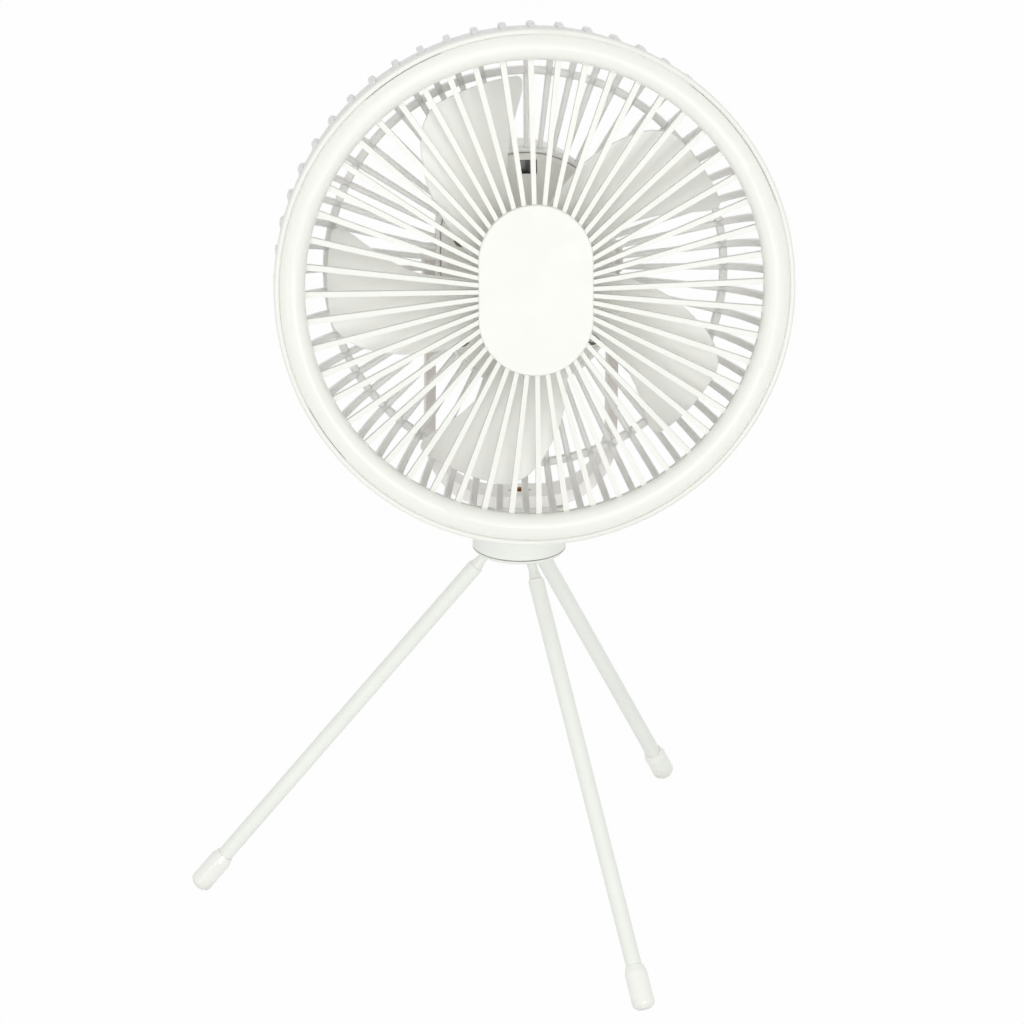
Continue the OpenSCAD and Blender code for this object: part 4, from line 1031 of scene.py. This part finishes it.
unselect()
bpy.ops.mesh.primitive_grid_add(x_subdivisions=48, y_subdivisions=30, size=1)
blade = bpy.context.object
sheet_r = (half_chord ** 2 + camber ** 2) / (2 * camber)
pitch = math.atan(half_lift / half_chord)
centre_x = -(camber * camber_above - sheet_r) * math.sin(pitch)
centre_z = (camber * camber_above - sheet_r) * math.cos(pitch) + blade_mid
thickness = blade.vertex_groups.new(name="thickness")
for vertex in blade.data.vertices:
    share_out = 1 - (0.5 - vertex.co.x) ** crowding
    radius = root_r + (tip_end_r - root_r) * share_out
    low, high = along(leading_edge, radius), along(trailing_edge, radius)
    angle = math.radians(low + (high - low) * (vertex.co.y + 0.5))
    x = radius / 1000 * math.cos(angle)
    y = radius / 1000 * math.sin(angle)
    z = centre_z + math.sqrt(sheet_r ** 2 - (y - centre_x) ** 2)
    vertex.co = (x, y, z)
    thickness.add([vertex.index], 1 - blade_thinning * share_out, "REPLACE")
walled(blade, blade_wall, group="thickness")
bevelled(blade, blade_edge, 3)

unselect()
bpy.ops.mesh.primitive_cylinder_add(
    vertices=128, radius=hub_r, depth=hub_front - hub_back,
    location=(0, 0, (hub_front + hub_back) / 2),
)
hub = bpy.context.object
bpy.ops.object.transform_apply(location=True, rotation=False, scale=False)
bpy.ops.object.mode_set(mode="EDIT")
pick(hub, looks_down)
bpy.ops.mesh.inset(thickness=hub_wall, depth=0)
draw_out(hub_front - hub_back - hub_wall)
bpy.ops.mesh.inset(thickness=hub_r - hub_wall - boss_r, depth=0)
draw_out(-(hub_front - hub_back - hub_wall))
bpy.ops.mesh.inset(thickness=boss_r - bore_r, depth=0)
draw_out(hub_front - hub_back - bore_end)
bpy.ops.object.mode_set(mode="OBJECT")
bevelled(hub, hub_edge, 3)

blades = copies(blade, "blades", [
    Matrix.Rotation(math.radians(first_blade + 360 * number / blade_count), 4, "Z")
    for number in range(blade_count)
])
bpy.data.objects.remove(blade)
impeller = joined(hub, blades)
impeller.name = "impeller_moulding"
settle(impeller, head_place)
impeller.data.materials.append(moulded(
    "polished_polypropylene", "f8f8f4", "f4f4f0", grain=0.6, low_gloss=0.3, high_gloss=0.4,
    glow=0.35,
))
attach(impeller, "rotor")
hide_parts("impeller")

# ---------------------------------------------------------------- floor and light
# A pale paper floor in an even surround, both white to the eye. Two soft boxes stand in
# front of the fan, one high and one low, and two narrow strips, on the left and far up,
# draw the highlights along the ring and the legs.

floor_size, floor_behind = 30, 8
floor_white = 0.96
surround_light, surround_seen = 0.76, 1.0


def seen_directly(tree):
    """1 on rays from the camera, from gloss and through glass, 0 on those that light."""
    rays = add_node(tree, "LightPath")
    seen = add_node(tree, "Math", {
        0: (rays, "Is Camera Ray"), 1: (rays, "Is Glossy Ray"),
    }, operation="MAXIMUM")
    return add_node(tree, "Math", {
        0: (seen, 0), 1: (rays, "Is Transmission Ray"),
    }, operation="MAXIMUM")


unselect()
bpy.ops.mesh.primitive_plane_add(size=floor_size, location=(0, floor_behind, 0))
floor = bpy.context.object
floor.name = "floor"
paper, tree, coords = new_finish("white_paper")
fibre = add_node(tree, "TexNoise", {
    "Vector": (coords, "Object"), "Scale": 6.0, "Detail": 2.0,
})
tone = add_node(tree, "Mix", {
    0: (fibre, 0), 6: linear("f2f2f2"), 7: linear("f5f5f5"),
}, data_type="RGBA")
matt = add_node(tree, "BsdfDiffuse", {"Color": (tone, 2)})
share = add_node(tree, "Math", {
    0: (seen_directly(tree), 0), 1: floor_white,
}, operation="MULTIPLY")
white = add_node(tree, "Emission", {"Color": (1, 1, 1, 1), "Strength": 1.0})
close_finish(tree, add_node(tree, "MixShader", {
    0: (share, 0), 1: (matt, 0), 2: (white, 0),
}))
floor.data.materials.append(paper)

world = bpy.data.worlds.new("white_surround")
bpy.context.scene.world = world
world.use_nodes = True
tree = world.node_tree
tree.nodes.clear()
strength = add_node(tree, "MapRange", {
    "Value": (seen_directly(tree), 0), "To Min": surround_light, "To Max": surround_seen,
})
surround = add_node(tree, "Background", {
    "Color": (1, 1, 1, 1), "Strength": (strength, 0),
})
add_node(tree, "OutputWorld", {"Surface": (surround, 0)})


def soft_lamp(name, place, aim, width, height, watts):
    """A soft box or a strip light, aimed at a point."""
    data = bpy.data.lights.new(name, "AREA")
    data.shape = "RECTANGLE"
    data.size = width
    data.size_y = height
    data.energy = watts
    lamp = bpy.data.objects.new(name, data)
    bpy.context.scene.collection.objects.link(lamp)
    lamp.location = place
    lamp.rotation_euler = (Vector(aim) - Vector(place)).to_track_quat("-Z", "Y").to_euler()


fan_middle, legs_middle = (0, 0, 0.25), (0, 0, 0.1)
soft_lamp("front_fill", (-0.3, -2.9, 1.4), fan_middle, width=0.9, height=0.9, watts=7.5)
soft_lamp("low_fill", (0.3, -2.9, 0.5), fan_middle, width=1.2, height=0.9, watts=16)
soft_lamp("left_strip", (-1.6, -2.2, 0.35), legs_middle, width=0.06, height=0.5, watts=2.5)
soft_lamp("high_strip", (-0.5, -2.4, 3.1), legs_middle, width=0.7, height=0.15, watts=2.5)

bpy.context.scene.view_settings.view_transform = "Standard"
